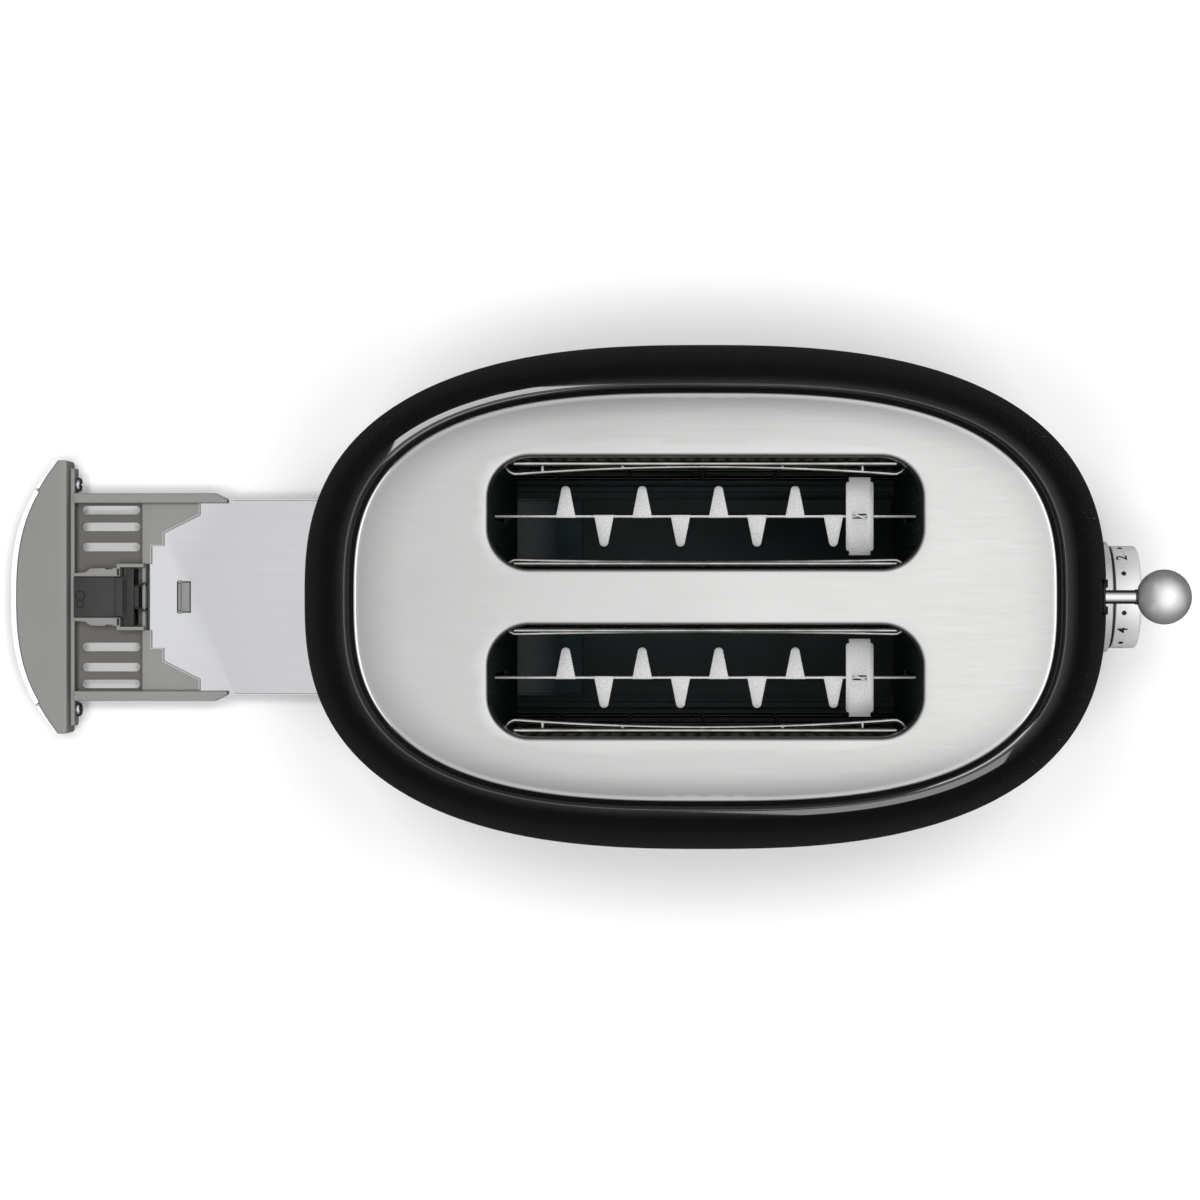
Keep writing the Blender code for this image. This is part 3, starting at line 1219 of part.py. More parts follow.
def latch_plunger():
    """A shaft in the housing, a broad head and the nose that catches on the striker."""
    low = (LATCH_END - LATCH_SHAFT_LENGTH, -LATCH_SHAFT_HALF, LATCH_SHAFT_BOTTOM)
    plunger = box("latch_plunger", low, (LATCH_HEAD_START + SINK, LATCH_SHAFT_HALF, LATCH_SHAFT_TOP))
    low = (LATCH_HEAD_START, -LATCH_HEAD_HALF, FLOOR_TOP + GAP)
    join(plunger, box("head", low, (LATCH_HEAD_END, LATCH_HEAD_HALF, LATCH_TOP)))
    low = (LATCH_HEAD_END - SINK, -LATCH_NOSE_HALF, LATCH_SHAFT_BOTTOM)
    return join(plunger, box("nose", low, (LATCH_TIP, LATCH_NOSE_HALF, LATCH_TOP - SINK)))


def tray_striker():
    """The arm on the left end plate that the latch catches when the tray is pushed home."""
    root = -(CHASSIS_HALF + SHEET / 2 + GAP)
    top = STRIKER_BOTTOM + STRIKER_THICKNESS
    arm = box("tray_striker", (LATCH_TIP + GAP, -STRIKER_HALF, STRIKER_BOTTOM), (root, STRIKER_HALF, top))
    low = (root - STRIKER_THICKNESS, SINK - STRIKER_HALF, top - SINK)
    high = (root - SINK / 2, STRIKER_HALF - SINK, STRIKER_BOTTOM + STRIKER_HEIGHT)
    return join(arm, box("riser", low, high))


def tray_screw(number, side):
    head = FLOOR_START + GAP
    tip = COVER_BACK - TRAY_SCREW_LENGTH + OVERRUN
    profile = [
        (TRAY_SCREW_RADIUS, tip),
        (TRAY_SCREW_RADIUS, head),
        (TRAY_SCREW_HEAD_RADIUS, head),
        (TRAY_SCREW_HEAD_RADIUS, head + TRAY_SCREW_HEAD_HEIGHT / 2),
        (TRAY_SCREW_HEAD_RADIUS / 2, head + TRAY_SCREW_HEAD_HEIGHT),
    ]
    return turned(f"tray_screw_{number}", profile, "X", (0, side * TRAY_SCREW_OFFSET, TRAY_SCREW_HEIGHT))


BLACK_GLOSS = (0.012, 0.012, 0.013)
STEEL = (0.62, 0.62, 0.63)
BRIGHT = (0.78, 0.78, 0.79)
DARK_STEEL = (0.10, 0.11, 0.11)
GREY_PLASTIC = (0.27, 0.27, 0.265)
BLACK_PLASTIC = (0.02, 0.02, 0.021)
MICA = (0.33, 0.30, 0.25)
BOARD_GREEN = (0.03, 0.12, 0.06)
COPPER = (0.55, 0.25, 0.12)
RUBBER = (0.03, 0.03, 0.03)


def build_fixed(root):
    finish(body_shell(), root, BLACK_GLOSS, 0.12)
    finish(top_plate(), root, STEEL, 0.28, 1)
    finish(base_ring(), root, BRIGHT, 0.15, 1)
    finish(base_plate(), root, BLACK_PLASTIC, 0.5)
    for number, (x, y) in enumerate(corner_places(FOOT_X, FOOT_Y), 1):
        finish(foot(number, x, y), root, RUBBER, 0.8)
    for number, (x, y) in enumerate(corner_places(POST_X, POST_Y), 1):
        finish(base_screw(number, x, y), root, STEEL, 0.35, 1)
    finish(end_plate("end_plate_left", -1), root, DARK_STEEL, 0.4, 1)
    finish(end_plate("end_plate_right", 1), root, DARK_STEEL, 0.4, 1)
    sheet_y = CHASSIS_SIDE - REFLECTOR_INSET
    for name, side in (("reflector_front", -1), ("reflector_rear", 1)):
        sheet = cross_sheet(name, side * sheet_y, SHEET, CHASSIS_BOTTOM, CHASSIS_TOP)
        finish(sheet, root, DARK_STEEL, 0.35, 1)
    heater_y = SLOT_Y + HEATER_OFFSET
    heater_top = CHASSIS_TOP - HEATER_TOP_DROP
    for name, side in (("heater_front", -1), ("heater_centre", 0), ("heater_rear", 1)):
        board = cross_sheet(name, side * heater_y, HEATER_THICKNESS, HEATER_BOTTOM, heater_top)
        finish(board, root, MICA, 0.6)
    finish(guide_rod(), root, STEEL, 0.2, 1)
    finish(return_spring(), root, STEEL, 0.3, 1)
    finish(magnet_core(), root, STEEL, 0.45, 1)
    finish(magnet_coil(), root, COPPER, 0.4, 1)
    finish(control_board(), root, BOARD_GREEN, 0.5)
    finish(potentiometer(), root, BLACK_PLASTIC, 0.5)
    finish(dial_bezel(), root, BRIGHT, 0.2, 1)
    finish(lever_trim(), root, BLACK_PLASTIC, 0.4)
    finish(cord_gland(), root, RUBBER, 0.6)
    finish(terminal_block(), root, GREY_PLASTIC, 0.5)
    finish(tray_striker(), root, STEEL, 0.4, 1)


def build_guards(root):
    for slot_name, slot_side in (("front", -1), ("rear", 1)):
        for guard_name, guard_side in (("outer", slot_side), ("inner", -slot_side)):
            name = f"guard_{slot_name}_{guard_name}"
            origin = (0, slot_side * SLOT_Y + guard_side * GUARD_OFFSET, GUARD_BOTTOM)
            hinge = frame_at(f"{name}_hinge", origin, root)
            finish(guard(name, slot_side, guard_side), hinge, STEEL, 0.3, 1)


def build_lever(root):
    slide = frame_at("lever_slide", (GUIDE_ROD_X, GUIDE_ROD_OFFSET, LEVER_Z), root)
    for name, side in (("front", -1), ("rear", 1)):
        finish(lift_bar(f"lift_bar_{name}", side), slide, STEEL, 0.35, 1)
        finish(bread_pad(f"bread_pad_{name}", side), slide, STEEL, 0.35, 1)
    finish(carriage(), slide, STEEL, 0.4, 1)
    finish(armature(), slide, STEEL, 0.45, 1)
    finish(lever_stem(), slide, BRIGHT, 0.12, 1)
    finish(lever_neck(), slide, BLACK_PLASTIC, 0.4)
    finish(lever_ball(), slide, BRIGHT, 0.08, 1)


def build_controls(root):
    axis = frame_at("dial_axis", (HALF_LENGTH, 0, DIAL_HEIGHT), root)
    finish(dial(), axis, BRIGHT, 0.2, 1)
    for number, (y, z) in enumerate(button_places(), 1):
        finish(switch(number, y, z), root, BLACK_PLASTIC, 0.5)
        slide = frame_at(f"push_button_{number}_slide", (HALF_LENGTH, y, z), root)
        finish(push_button(number, y, z), slide, BRIGHT, 0.2, 1)


def build_tray(root):
    out = (-TRAY_TRAVEL, 0, 0)
    slide = frame_at("tray_slide", (COVER_BACK, 0, PAN_BOTTOM), root, out)
    finish(tray_cover(), slide, GREY_PLASTIC, 0.5)
    finish(tray_skin(), slide, BRIGHT, 0.2, 1)
    finish(tray_frame(), slide, GREY_PLASTIC, 0.5)
    finish(crumb_pan(), slide, STEEL, 0.3, 1)
    finish(pan_clip(), slide, GREY_PLASTIC, 0.5)
    finish(latch_housing(), slide, BLACK_PLASTIC, 0.45)
    for number, side in ((1, -1), (2, 1)):
        finish(tray_screw(number, side), slide, STEEL, 0.3, 1)
    latch = frame_at("latch_slide", (LATCH_END, 0, LATCH_SHAFT_BOTTOM), slide)
    finish(latch_plunger(), latch, BLACK_PLASTIC, 0.4)


def main():
    clear_scene()
    root = frame_at("toaster", (0, 0, 0), None, (LAYOUT_X, 0, 0))
    build_fixed(root)
    build_guards(root)
    build_lever(root)
    build_controls(root)
    build_tray(root)


main()
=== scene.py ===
# Two-slot toaster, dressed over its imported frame.
# Metres, +Z up. The crumb tray pulls out to -X, the lever and the dial are at +X.
import json
import math
from contextlib import contextmanager

import bmesh
import bpy
from mathutils import Matrix, Vector
from mathutils.geometry import delaunay_2d_cdt


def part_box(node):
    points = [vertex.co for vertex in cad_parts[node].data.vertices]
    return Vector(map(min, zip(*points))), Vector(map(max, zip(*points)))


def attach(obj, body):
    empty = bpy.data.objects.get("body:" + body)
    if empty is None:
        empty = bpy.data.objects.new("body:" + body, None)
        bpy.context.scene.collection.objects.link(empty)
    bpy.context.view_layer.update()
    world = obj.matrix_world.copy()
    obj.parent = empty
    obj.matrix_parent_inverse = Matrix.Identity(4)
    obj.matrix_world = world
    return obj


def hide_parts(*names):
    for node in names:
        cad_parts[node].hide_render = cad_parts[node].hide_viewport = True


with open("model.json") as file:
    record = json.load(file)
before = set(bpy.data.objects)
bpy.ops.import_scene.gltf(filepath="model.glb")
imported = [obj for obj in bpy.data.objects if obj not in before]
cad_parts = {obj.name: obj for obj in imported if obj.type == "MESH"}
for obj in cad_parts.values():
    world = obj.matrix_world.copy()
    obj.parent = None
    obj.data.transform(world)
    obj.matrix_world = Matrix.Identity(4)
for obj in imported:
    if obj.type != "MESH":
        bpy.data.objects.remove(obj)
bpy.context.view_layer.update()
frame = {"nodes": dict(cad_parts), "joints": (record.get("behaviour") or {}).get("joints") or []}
nodes = frame["nodes"]
joints = {joint["name"]: joint for joint in frame["joints"]}
print("frame loaded:", len(nodes), "nodes")


def middle(node):
    low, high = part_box(node)
    return (low + high) / 2


def span(node):
    low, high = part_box(node)
    return high - low


# The toaster's own middle along X isn't the whole object's, because the tray is out
bodyMid = middle("top_plate").x
trayShift = bodyMid + joints["tray_slide"]["range_m"][0]
hair = 0.0001  # a hair's breadth, for faces that must not share a plane


# Node maths as Python expressions
class Flow:
    def __init__(self, tree, socket):
        self.tree, self.socket = tree, socket

    def maths(self, operation, *parts):
        return self.tree.node("ShaderNodeMath", {"operation": operation}, dict(enumerate(parts)))

    def __pow__(self, other):
        return self.maths("POWER", self, other)

    def __abs__(self):
        return self.maths("ABSOLUTE", self)


for sign, operation in (("add", "ADD"), ("sub", "SUBTRACT"), ("mul", "MULTIPLY"), ("truediv", "DIVIDE")):
    setattr(Flow, f"__{sign}__", lambda self, other, kind=operation: self.maths(kind, self, other))
    setattr(Flow, f"__r{sign}__", lambda self, other, kind=operation: self.maths(kind, other, self))


class Tree:
    def node(self, kind, settings=None, values=(), output=0):
        made = self.tree.nodes.new(kind)
        for key, value in (settings or {}).items():
            if key == "stops":
                while len(made.color_ramp.elements) < len(value):
                    made.color_ramp.elements.new(0.5)
                for stop, (place, shade) in zip(made.color_ramp.elements, value):
                    stop.position, stop.color = place, rgba(shade)
            else:
                setattr(made, key, value)
        for key, value in dict(values).items():
            self.feed(made.inputs[key], value)
        return Flow(self, made.outputs[output])

    def feed(self, socket, value):
        for part in value if isinstance(value, list) else [value]:
            if isinstance(part, Flow):
                self.tree.links.new(part.socket, socket)
            elif socket.type == "RGBA":
                socket.default_value = rgba(part)
            else:
                socket.default_value = part

    def parts(self, vector):
        return [self.node("ShaderNodeSeparateXYZ", {}, {"Vector": vector}, axis) for axis in "XYZ"]

    def vector(self, x=0, y=0, z=0):
        return self.node("ShaderNodeCombineXYZ", {}, {"X": x, "Y": y, "Z": z})


# One finish: a Principled shader whose colour, roughness and bump come from nodes
class Finish(Tree):
    def __init__(self, name, colour, roughness, metallic=0, **fixed):
        self.material = bpy.data.materials.new(name)
        self.material.use_nodes = True
        self.tree = self.material.node_tree
        self.shader = self.tree.nodes["Principled BSDF"]
        self.set(Base_Color=colour, Roughness=roughness, Metallic=metallic, **fixed)

    def set(self, **sockets):
        for key, value in sockets.items():
            self.feed(self.shader.inputs[key.replace("_", " ")], value)
        return self

    def place(self, scale=(1, 1, 1), location=(0, 0, 0)):
        coordinates = self.node("ShaderNodeTexCoord", {}, output="Object")
        return self.node("ShaderNodeMapping", {}, {"Vector": coordinates, "Scale": scale, "Location": location})

    def axis(self, letter):
        return self.node("ShaderNodeSeparateXYZ", {}, {"Vector": self.place()}, output=letter)

    def noise(self, scale, detail=3, stretch=(1, 1, 1), roughness=0.5):
        values = {"Vector": self.place(stretch), "Scale": scale, "Detail": detail, "Roughness": roughness}
        return self.node("ShaderNodeTexNoise", {}, values)

    def ramp(self, factor, *stops):
        return self.node("ShaderNodeValToRGB", {"stops": stops}, {"Fac": factor})

    def mix(self, factor, first, second):
        return self.node("ShaderNodeMix", {"data_type": "RGBA"}, {0: factor, 6: first, 7: second}, 2)

    def spread(self, factor, low, high, fromLow=0.3, fromHigh=0.7):
        values = {"Value": factor, "From Min": fromLow, "From Max": fromHigh, "To Min": low, "To Max": high}
        return self.node("ShaderNodeMapRange", {}, values)

    def bump(self, height, distance, strength=1):
        values = {"Height": height, "Distance": distance, "Strength": strength}
        self.set(Normal=self.node("ShaderNodeBump", {}, values))
        return self


# One Geometry Nodes shape with named inputs, which repeats or bends what it is given
class Shape(Tree):
    def __init__(self, name, **inputs):
        self.tree = bpy.data.node_groups.new(name, "GeometryNodeTree")
        outside = self.tree.interface
        outside.new_socket("Geometry", in_out="OUTPUT", socket_type="NodeSocketGeometry")
        kinds = {int: "NodeSocketInt", float: "NodeSocketFloat", tuple: "NodeSocketVector"}
        self.keys = {}
        given = self.tree.nodes.new("NodeGroupInput")
        outside.new_socket("Template", in_out="INPUT", socket_type="NodeSocketGeometry")
        outside.new_socket("Finish", in_out="INPUT", socket_type="NodeSocketMaterial")
        for label, value in inputs.items():
            socket = outside.new_socket(label, in_out="INPUT", socket_type=kinds[type(value)])
            socket.default_value = value
            self.keys[label] = socket.identifier
        self.keys["Finish"] = next(s.identifier for s in outside.items_tree if s.name == "Finish")
        for socket in given.outputs[:-1]:
            setattr(self, socket.name[0].lower() + socket.name[1:], Flow(self, socket))

    def end(self, geometry):
        whole = self.node("GeometryNodeRealizeInstances", {}, {"Geometry": geometry})
        values = {"Geometry": whole, "Material": self.finish}
        dressed = self.node("GeometryNodeSetMaterial", {}, values)
        last = self.tree.nodes.new("NodeGroupOutput")
        self.feed(last.inputs["Geometry"], dressed)
        return self

    def make(self, name, finish, template=None, **values):
        piece = template or placed(name, bpy.data.meshes.new(name))
        piece.name = name
        modifier = piece.modifiers.new(name, "NODES")
        modifier.node_group = self.tree
        for label, value in values.items():
            modifier[self.keys[label]] = value
        modifier[self.keys["Finish"]] = finishes[finish].material
        return baked(piece)


def rgba(shade):
    if isinstance(shade, (int, float)):
        return (shade, shade, shade, 1)
    return (*shade[:3], 1)


# Mesh making
def placed(name, data):
    piece = bpy.data.objects.new(name, data)
    bpy.context.scene.collection.objects.link(piece)
    return piece


def shownMesh(piece):
    bpy.context.view_layer.update()
    return bpy.data.meshes.new_from_object(piece.evaluated_get(bpy.context.evaluated_depsgraph_get()))


def baked(piece):  # turns what the modifiers show into the piece's own mesh
    mesh = shownMesh(piece)
    piece.modifiers.clear()
    piece.data = mesh
    return piece


def solidOf(name, data):  # a curve or a text as a mesh piece
    soft = placed(name, data)
    mesh = shownMesh(soft)
    bpy.data.objects.remove(soft)
    return placed(name, mesh)


def modified(piece, kind, **settings):
    modifier = piece.modifiers.new(kind.lower(), kind)
    for key, value in settings.items():
        setattr(modifier, key, value)
    return baked(piece)


@contextmanager
def opened(piece):  # the piece's mesh, open for editing
    shape = bmesh.new()
    shape.from_mesh(piece.data)
    yield shape
    shape.to_mesh(piece.data)
    shape.free()


def meshPiece(name, points, faces, outward=True):
    mesh = bpy.data.meshes.new(name)
    mesh.from_pydata(points, [], faces)
    piece = placed(name, mesh)
    return tidied(piece) if outward else piece


def tidied(piece, merge=1e-7):  # merges doubles and turns the faces out
    with opened(piece) as shape:
        bmesh.ops.remove_doubles(shape, verts=shape.verts, dist=merge)
        bmesh.ops.recalc_face_normals(shape, faces=shape.faces)
    return piece


def skinned(name, rings, closed=False, capped=True):  # rings of equal count, skinned in order
    count = len(rings[0])
    points = [point for ring in rings for point in ring]
    faces = []
    for level in range(len(rings) if closed else len(rings) - 1):
        here, there = level * count, (level + 1) % len(rings) * count
        for i in range(count):
            j = (i + 1) % count
            faces.append((here + i, here + j, there + j, there + i))
    if capped and not closed:
        faces += [tuple(range(count)), tuple(range(len(points) - count, len(points)))]
    return meshPiece(name, points, faces)


def prism(name, outline, low, high, axis="Z"):
    places = {"X": lambda u, v, w: (w, u, v), "Y": lambda u, v, w: (u, w, v), "Z": lambda u, v, w: (u, v, w)}
    return skinned(name, [[places[axis](u, v, w) for u, v in outline] for w in (low, high)])


def block(name, low, high, soften=0.0):
    outline = [(low[0], low[1]), (high[0], low[1]), (high[0], high[1]), (low[0], high[1])]
    piece = prism(name, outline, low[2], high[2])
    return softened(piece, soften) if soften else piece


# Turns a profile of (radius, distance along the axis). A hollow profile is a closed loop beside the axis.
def turned(name, profile, centre, axis="X", sides=64, hollow=False):
    turns = {"X": lambda c, s, w: (w, c, s), "Y": lambda c, s, w: (c, w, s), "Z": lambda c, s, w: (c, s, w)}
    angles = [2 * math.pi * i / sides for i in range(sides)]
    rings = []
    for radius, along in profile:
        ring = [turns[axis](radius * math.cos(a), radius * math.sin(a), along) for a in angles]
        rings.append([tuple(Vector(point) + Vector(centre)) for point in ring])
    piece = skinned(name, rings, closed=hollow)
    return tidied(piece, hair / 20)


def softened(piece, width, segments=2, angle=30):
    with opened(piece) as shape:
        edges = [e for e in shape.edges if e.is_manifold and e.calc_face_angle() > math.radians(angle)]
        bmesh.ops.bevel(
            shape, geom=edges, offset=width, segments=segments, profile=0.5, affect="EDGES", clamp_overlap=True
        )
    return piece


def cutBy(piece, *tools):
    for tool in tools:
        modified(piece, "BOOLEAN", operation="DIFFERENCE", object=tool, solver="EXACT")
        bpy.data.objects.remove(tool)
    return piece


def joined(piece, *others):  # one object of several closed shapes
    with opened(piece) as shape:
        for other in others:
            shape.from_mesh(other.data)
            bpy.data.objects.remove(other)
    return piece


def refined(node, width=0.0003, segments=2):  # the CAD node's own shape with softened edges
    piece = placed(node + "_fine", nodes[node].data.copy())
    with opened(piece) as shape:
        bmesh.ops.remove_doubles(shape, verts=shape.verts, dist=hair / 10)
        bmesh.ops.dissolve_limit(shape, angle_limit=math.radians(1), verts=shape.verts, edges=shape.edges)
    return softened(piece, width, segments) if width else piece


unmirrored = ("tray", "lever", "dial")  # bodies that the enamel doesn't mirror, as it is dark in the photo


# Gives a finished piece its finish and body, and hides the CAD nodes that it stands for
def dress(piece, finish, body, slot, *stoodFor, smooth=28):
    piece.visible_glossy = body not in unmirrored
    piece.data.materials.clear()
    piece.data.materials.append(finishes[finish].material)
    for polygon in piece.data.polygons:
        polygon.material_index = 0
    piece.data.shade_smooth()
    piece.data.set_sharp_from_angle(angle=math.radians(smooth))
    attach(piece, body)
    if stoodFor:
        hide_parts(*stoodFor)
    return piece


def ribAlong(name, path, width, low, high):  # a thin upright wall along a flat path
    sides = [[], []]
    for i, here in enumerate(path):
        ways = []
        for a, b in ((i - 1, i), (i, i + 1)):
            if 0 <= a and b < len(path):
                ways.append((Vector(path[b]) - Vector(path[a])).normalized())
        normals = [Vector((-way.y, way.x)) for way in ways]
        out = sum(normals, Vector((0, 0))).normalized()
        out /= max(out.dot(normals[0]), 0.3)
        for k, sign in enumerate((1, -1)):
            sides[k].append(tuple(Vector(here) + out * sign * width / 2))
    return prism(name, sides[0] + sides[1][::-1], low, high)


def wirePath(name, points, radius, resolution=3):
    data = bpy.data.curves.new(name, "CURVE")
    data.dimensions, data.use_fill_caps = "3D", True
    data.bevel_depth, data.bevel_resolution = radius, resolution
    spline = data.splines.new("POLY")
    spline.points.add(len(points) - 1)
    for point, place in zip(spline.points, points):
        point.co = (*place, 1)
    return tidied(solidOf(name, data))


def crossScrew(name, radius, height, shaft, length):  # a pan-head screw that looks along +Z, with a cross recess
    profile = [(hair / 50, -length), (shaft, -length), (shaft, 0), (radius - 0.0002, 0), (radius, 0.0002)]
    for step in range(8):
        angle = math.pi / 2 * step / 8
        profile.append((radius * math.cos(angle) ** 0.8, height * (0.3 + 0.7 * math.sin(angle))))
    profile.append((hair / 50, height))
    screw = turned(name, profile, (0, 0, 0), "Z", 40)
    long, half = radius * 0.55, radius * 0.11
    for size in ((long, half), (half, long)):
        cutBy(screw, block("recess", (-size[0], -size[1], height * 0.35), (size[0], size[1], height * 2)))
    return screw


def superellipse(halfLength, halfWidth, exponent, sides=240):
    ring = []
    for i in range(sides):
        angle = 2 * math.pi * i / sides
        c, s = math.cos(angle), math.sin(angle)
        x = math.copysign(abs(c) ** (2 / exponent), c) * halfLength
        y = math.copysign(abs(s) ** (2 / exponent), s) * halfWidth
        ring.append((bodyMid + x, y))
    return ring


def arc(centreU, centreV, radius, first, last, steps):  # its angles are in quarter turns
    angles = [math.pi / 2 * (first + (last - first) * step / steps) for step in range(steps + 1)]
    return [(centreU + radius * math.cos(a), centreV + radius * math.sin(a)) for a in angles]


def roundedBox(centreX, centreY, length, width, corner, steps=8, most=0.004):
    outline = []
    for signX, signY, quarter in ((1, 1, 0), (-1, 1, 1), (-1, -1, 2), (1, -1, 3)):
        x, y = centreX + signX * (length / 2 - corner), centreY + signY * (width / 2 - corner)
        outline += arc(x, y, corner, quarter, quarter + 1, steps)
    filled = []
    for here, there in zip(outline, outline[1:] + outline[:1]):  # long sides get points of their own
        pieces = max(1, math.ceil(math.dist(here, there) / most))
        for step in range(pieces):
            share = step / pieces
            filled.append(tuple(a + (b - a) * share for a, b in zip(here, there)))
    return filled


def inside(point, outline):
    x, y = point
    hit = False
    for (ax, ay), (bx, by) in zip(outline, outline[1:] + outline[:1]):
        if (ay > y) != (by > y) and x < (bx - ax) * (y - ay) / (by - ay) + ax:
            hit = not hit
    return hit


# A sheet of even triangles inside an outline and round its holes, carried onto a surface by lift(u, v)
def sheet(name, outline, holes, step, lift, guides=()):
    loops = [outline, *holes]
    points, edges = [], []
    for loop in loops:
        first = len(points)
        points += loop
        edges += [(first + i, first + (i + 1) % len(loop)) for i in range(len(loop))]
    lowX, highX = min(p[0] for p in outline), max(p[0] for p in outline)
    lowY, highY = min(p[1] for p in outline), max(p[1] for p in outline)
    points += [point for guide in guides for point in guide]
    border = list(points)
    row = 0
    y = lowY + step / 2
    while y < highY:
        x = lowX + step * (0.5 if row % 2 else 1)
        while x < highX:
            free = inside((x, y), outline) and not any(inside((x, y), hole) for hole in holes)
            if free and min(math.dist((x, y), p) for p in border) > step * 0.6:
                points.append((x, y))
            x += step
        y += step * 0.87
        row += 1
    made = delaunay_2d_cdt([Vector(p) for p in points], edges, [], 0, 1e-9)
    flat, faces = made[0], []
    for face in made[2]:
        centre = [sum(flat[i][axis] for i in face) / len(face) for axis in (0, 1)]
        if inside(centre, outline) and not any(inside(centre, hole) for hole in holes):
            faces.append(face)
    return meshPiece(name, [lift(p.x, p.y) for p in flat], faces, outward=False)


def rolledEdges(piece, radius, drop, steps=5):  # bends every open edge down, then lets it fall straight
    down = Vector((0, 0, -1))
    with opened(piece) as shape:
        loose = [v for v in shape.verts if not v.link_faces]
        bmesh.ops.delete(shape, geom=loose, context="VERTS")
        out = {}
        edges = [e for e in shape.edges if e.is_boundary]
        for edge in edges:
            along = (edge.verts[1].co - edge.verts[0].co).normalized()
            away = along.cross(down)
            if away.dot(edge.verts[0].co - edge.link_faces[0].calc_center_median()) < 0:
                away.negate()
            for vert in edge.verts:
                out[vert] = out.get(vert, Vector()) + away
        out = {vert: way.normalized() for vert, way in out.items()}
        moves = []
        for step in range(1, steps + 1):
            last, angle = [math.pi / 2 * (step - k) / steps for k in (1, 0)]
            sideways = radius * (math.sin(angle) - math.sin(last))
            moves.append((sideways, radius * (math.cos(last) - math.cos(angle))))
        moves.append((0, drop))
        for sideways, downwards in moves:
            grown = bmesh.ops.extrude_edge_only(shape, edges=edges)["geom"]
            fresh = {}
            for vert in (g for g in grown if isinstance(g, bmesh.types.BMVert)):
                old = next(e.other_vert(vert) for e in vert.link_edges if e.other_vert(vert) in out)
                fresh[vert] = out[old]
                vert.co = old.co + out[old] * sideways + down * downwards
            out = fresh
            edges = [g for g in grown if isinstance(g, bmesh.types.BMEdge)]
    return piece


def facing(piece, direction):  # an open sheet's faces turned to one side
    with opened(piece) as shape:
        bmesh.ops.recalc_face_normals(shape, faces=shape.faces)
        if sum(f.normal.dot(Vector(direction)) * f.calc_area() for f in shape.faces) < 0:
            bmesh.ops.reverse_faces(shape, faces=shape.faces)
    return piece


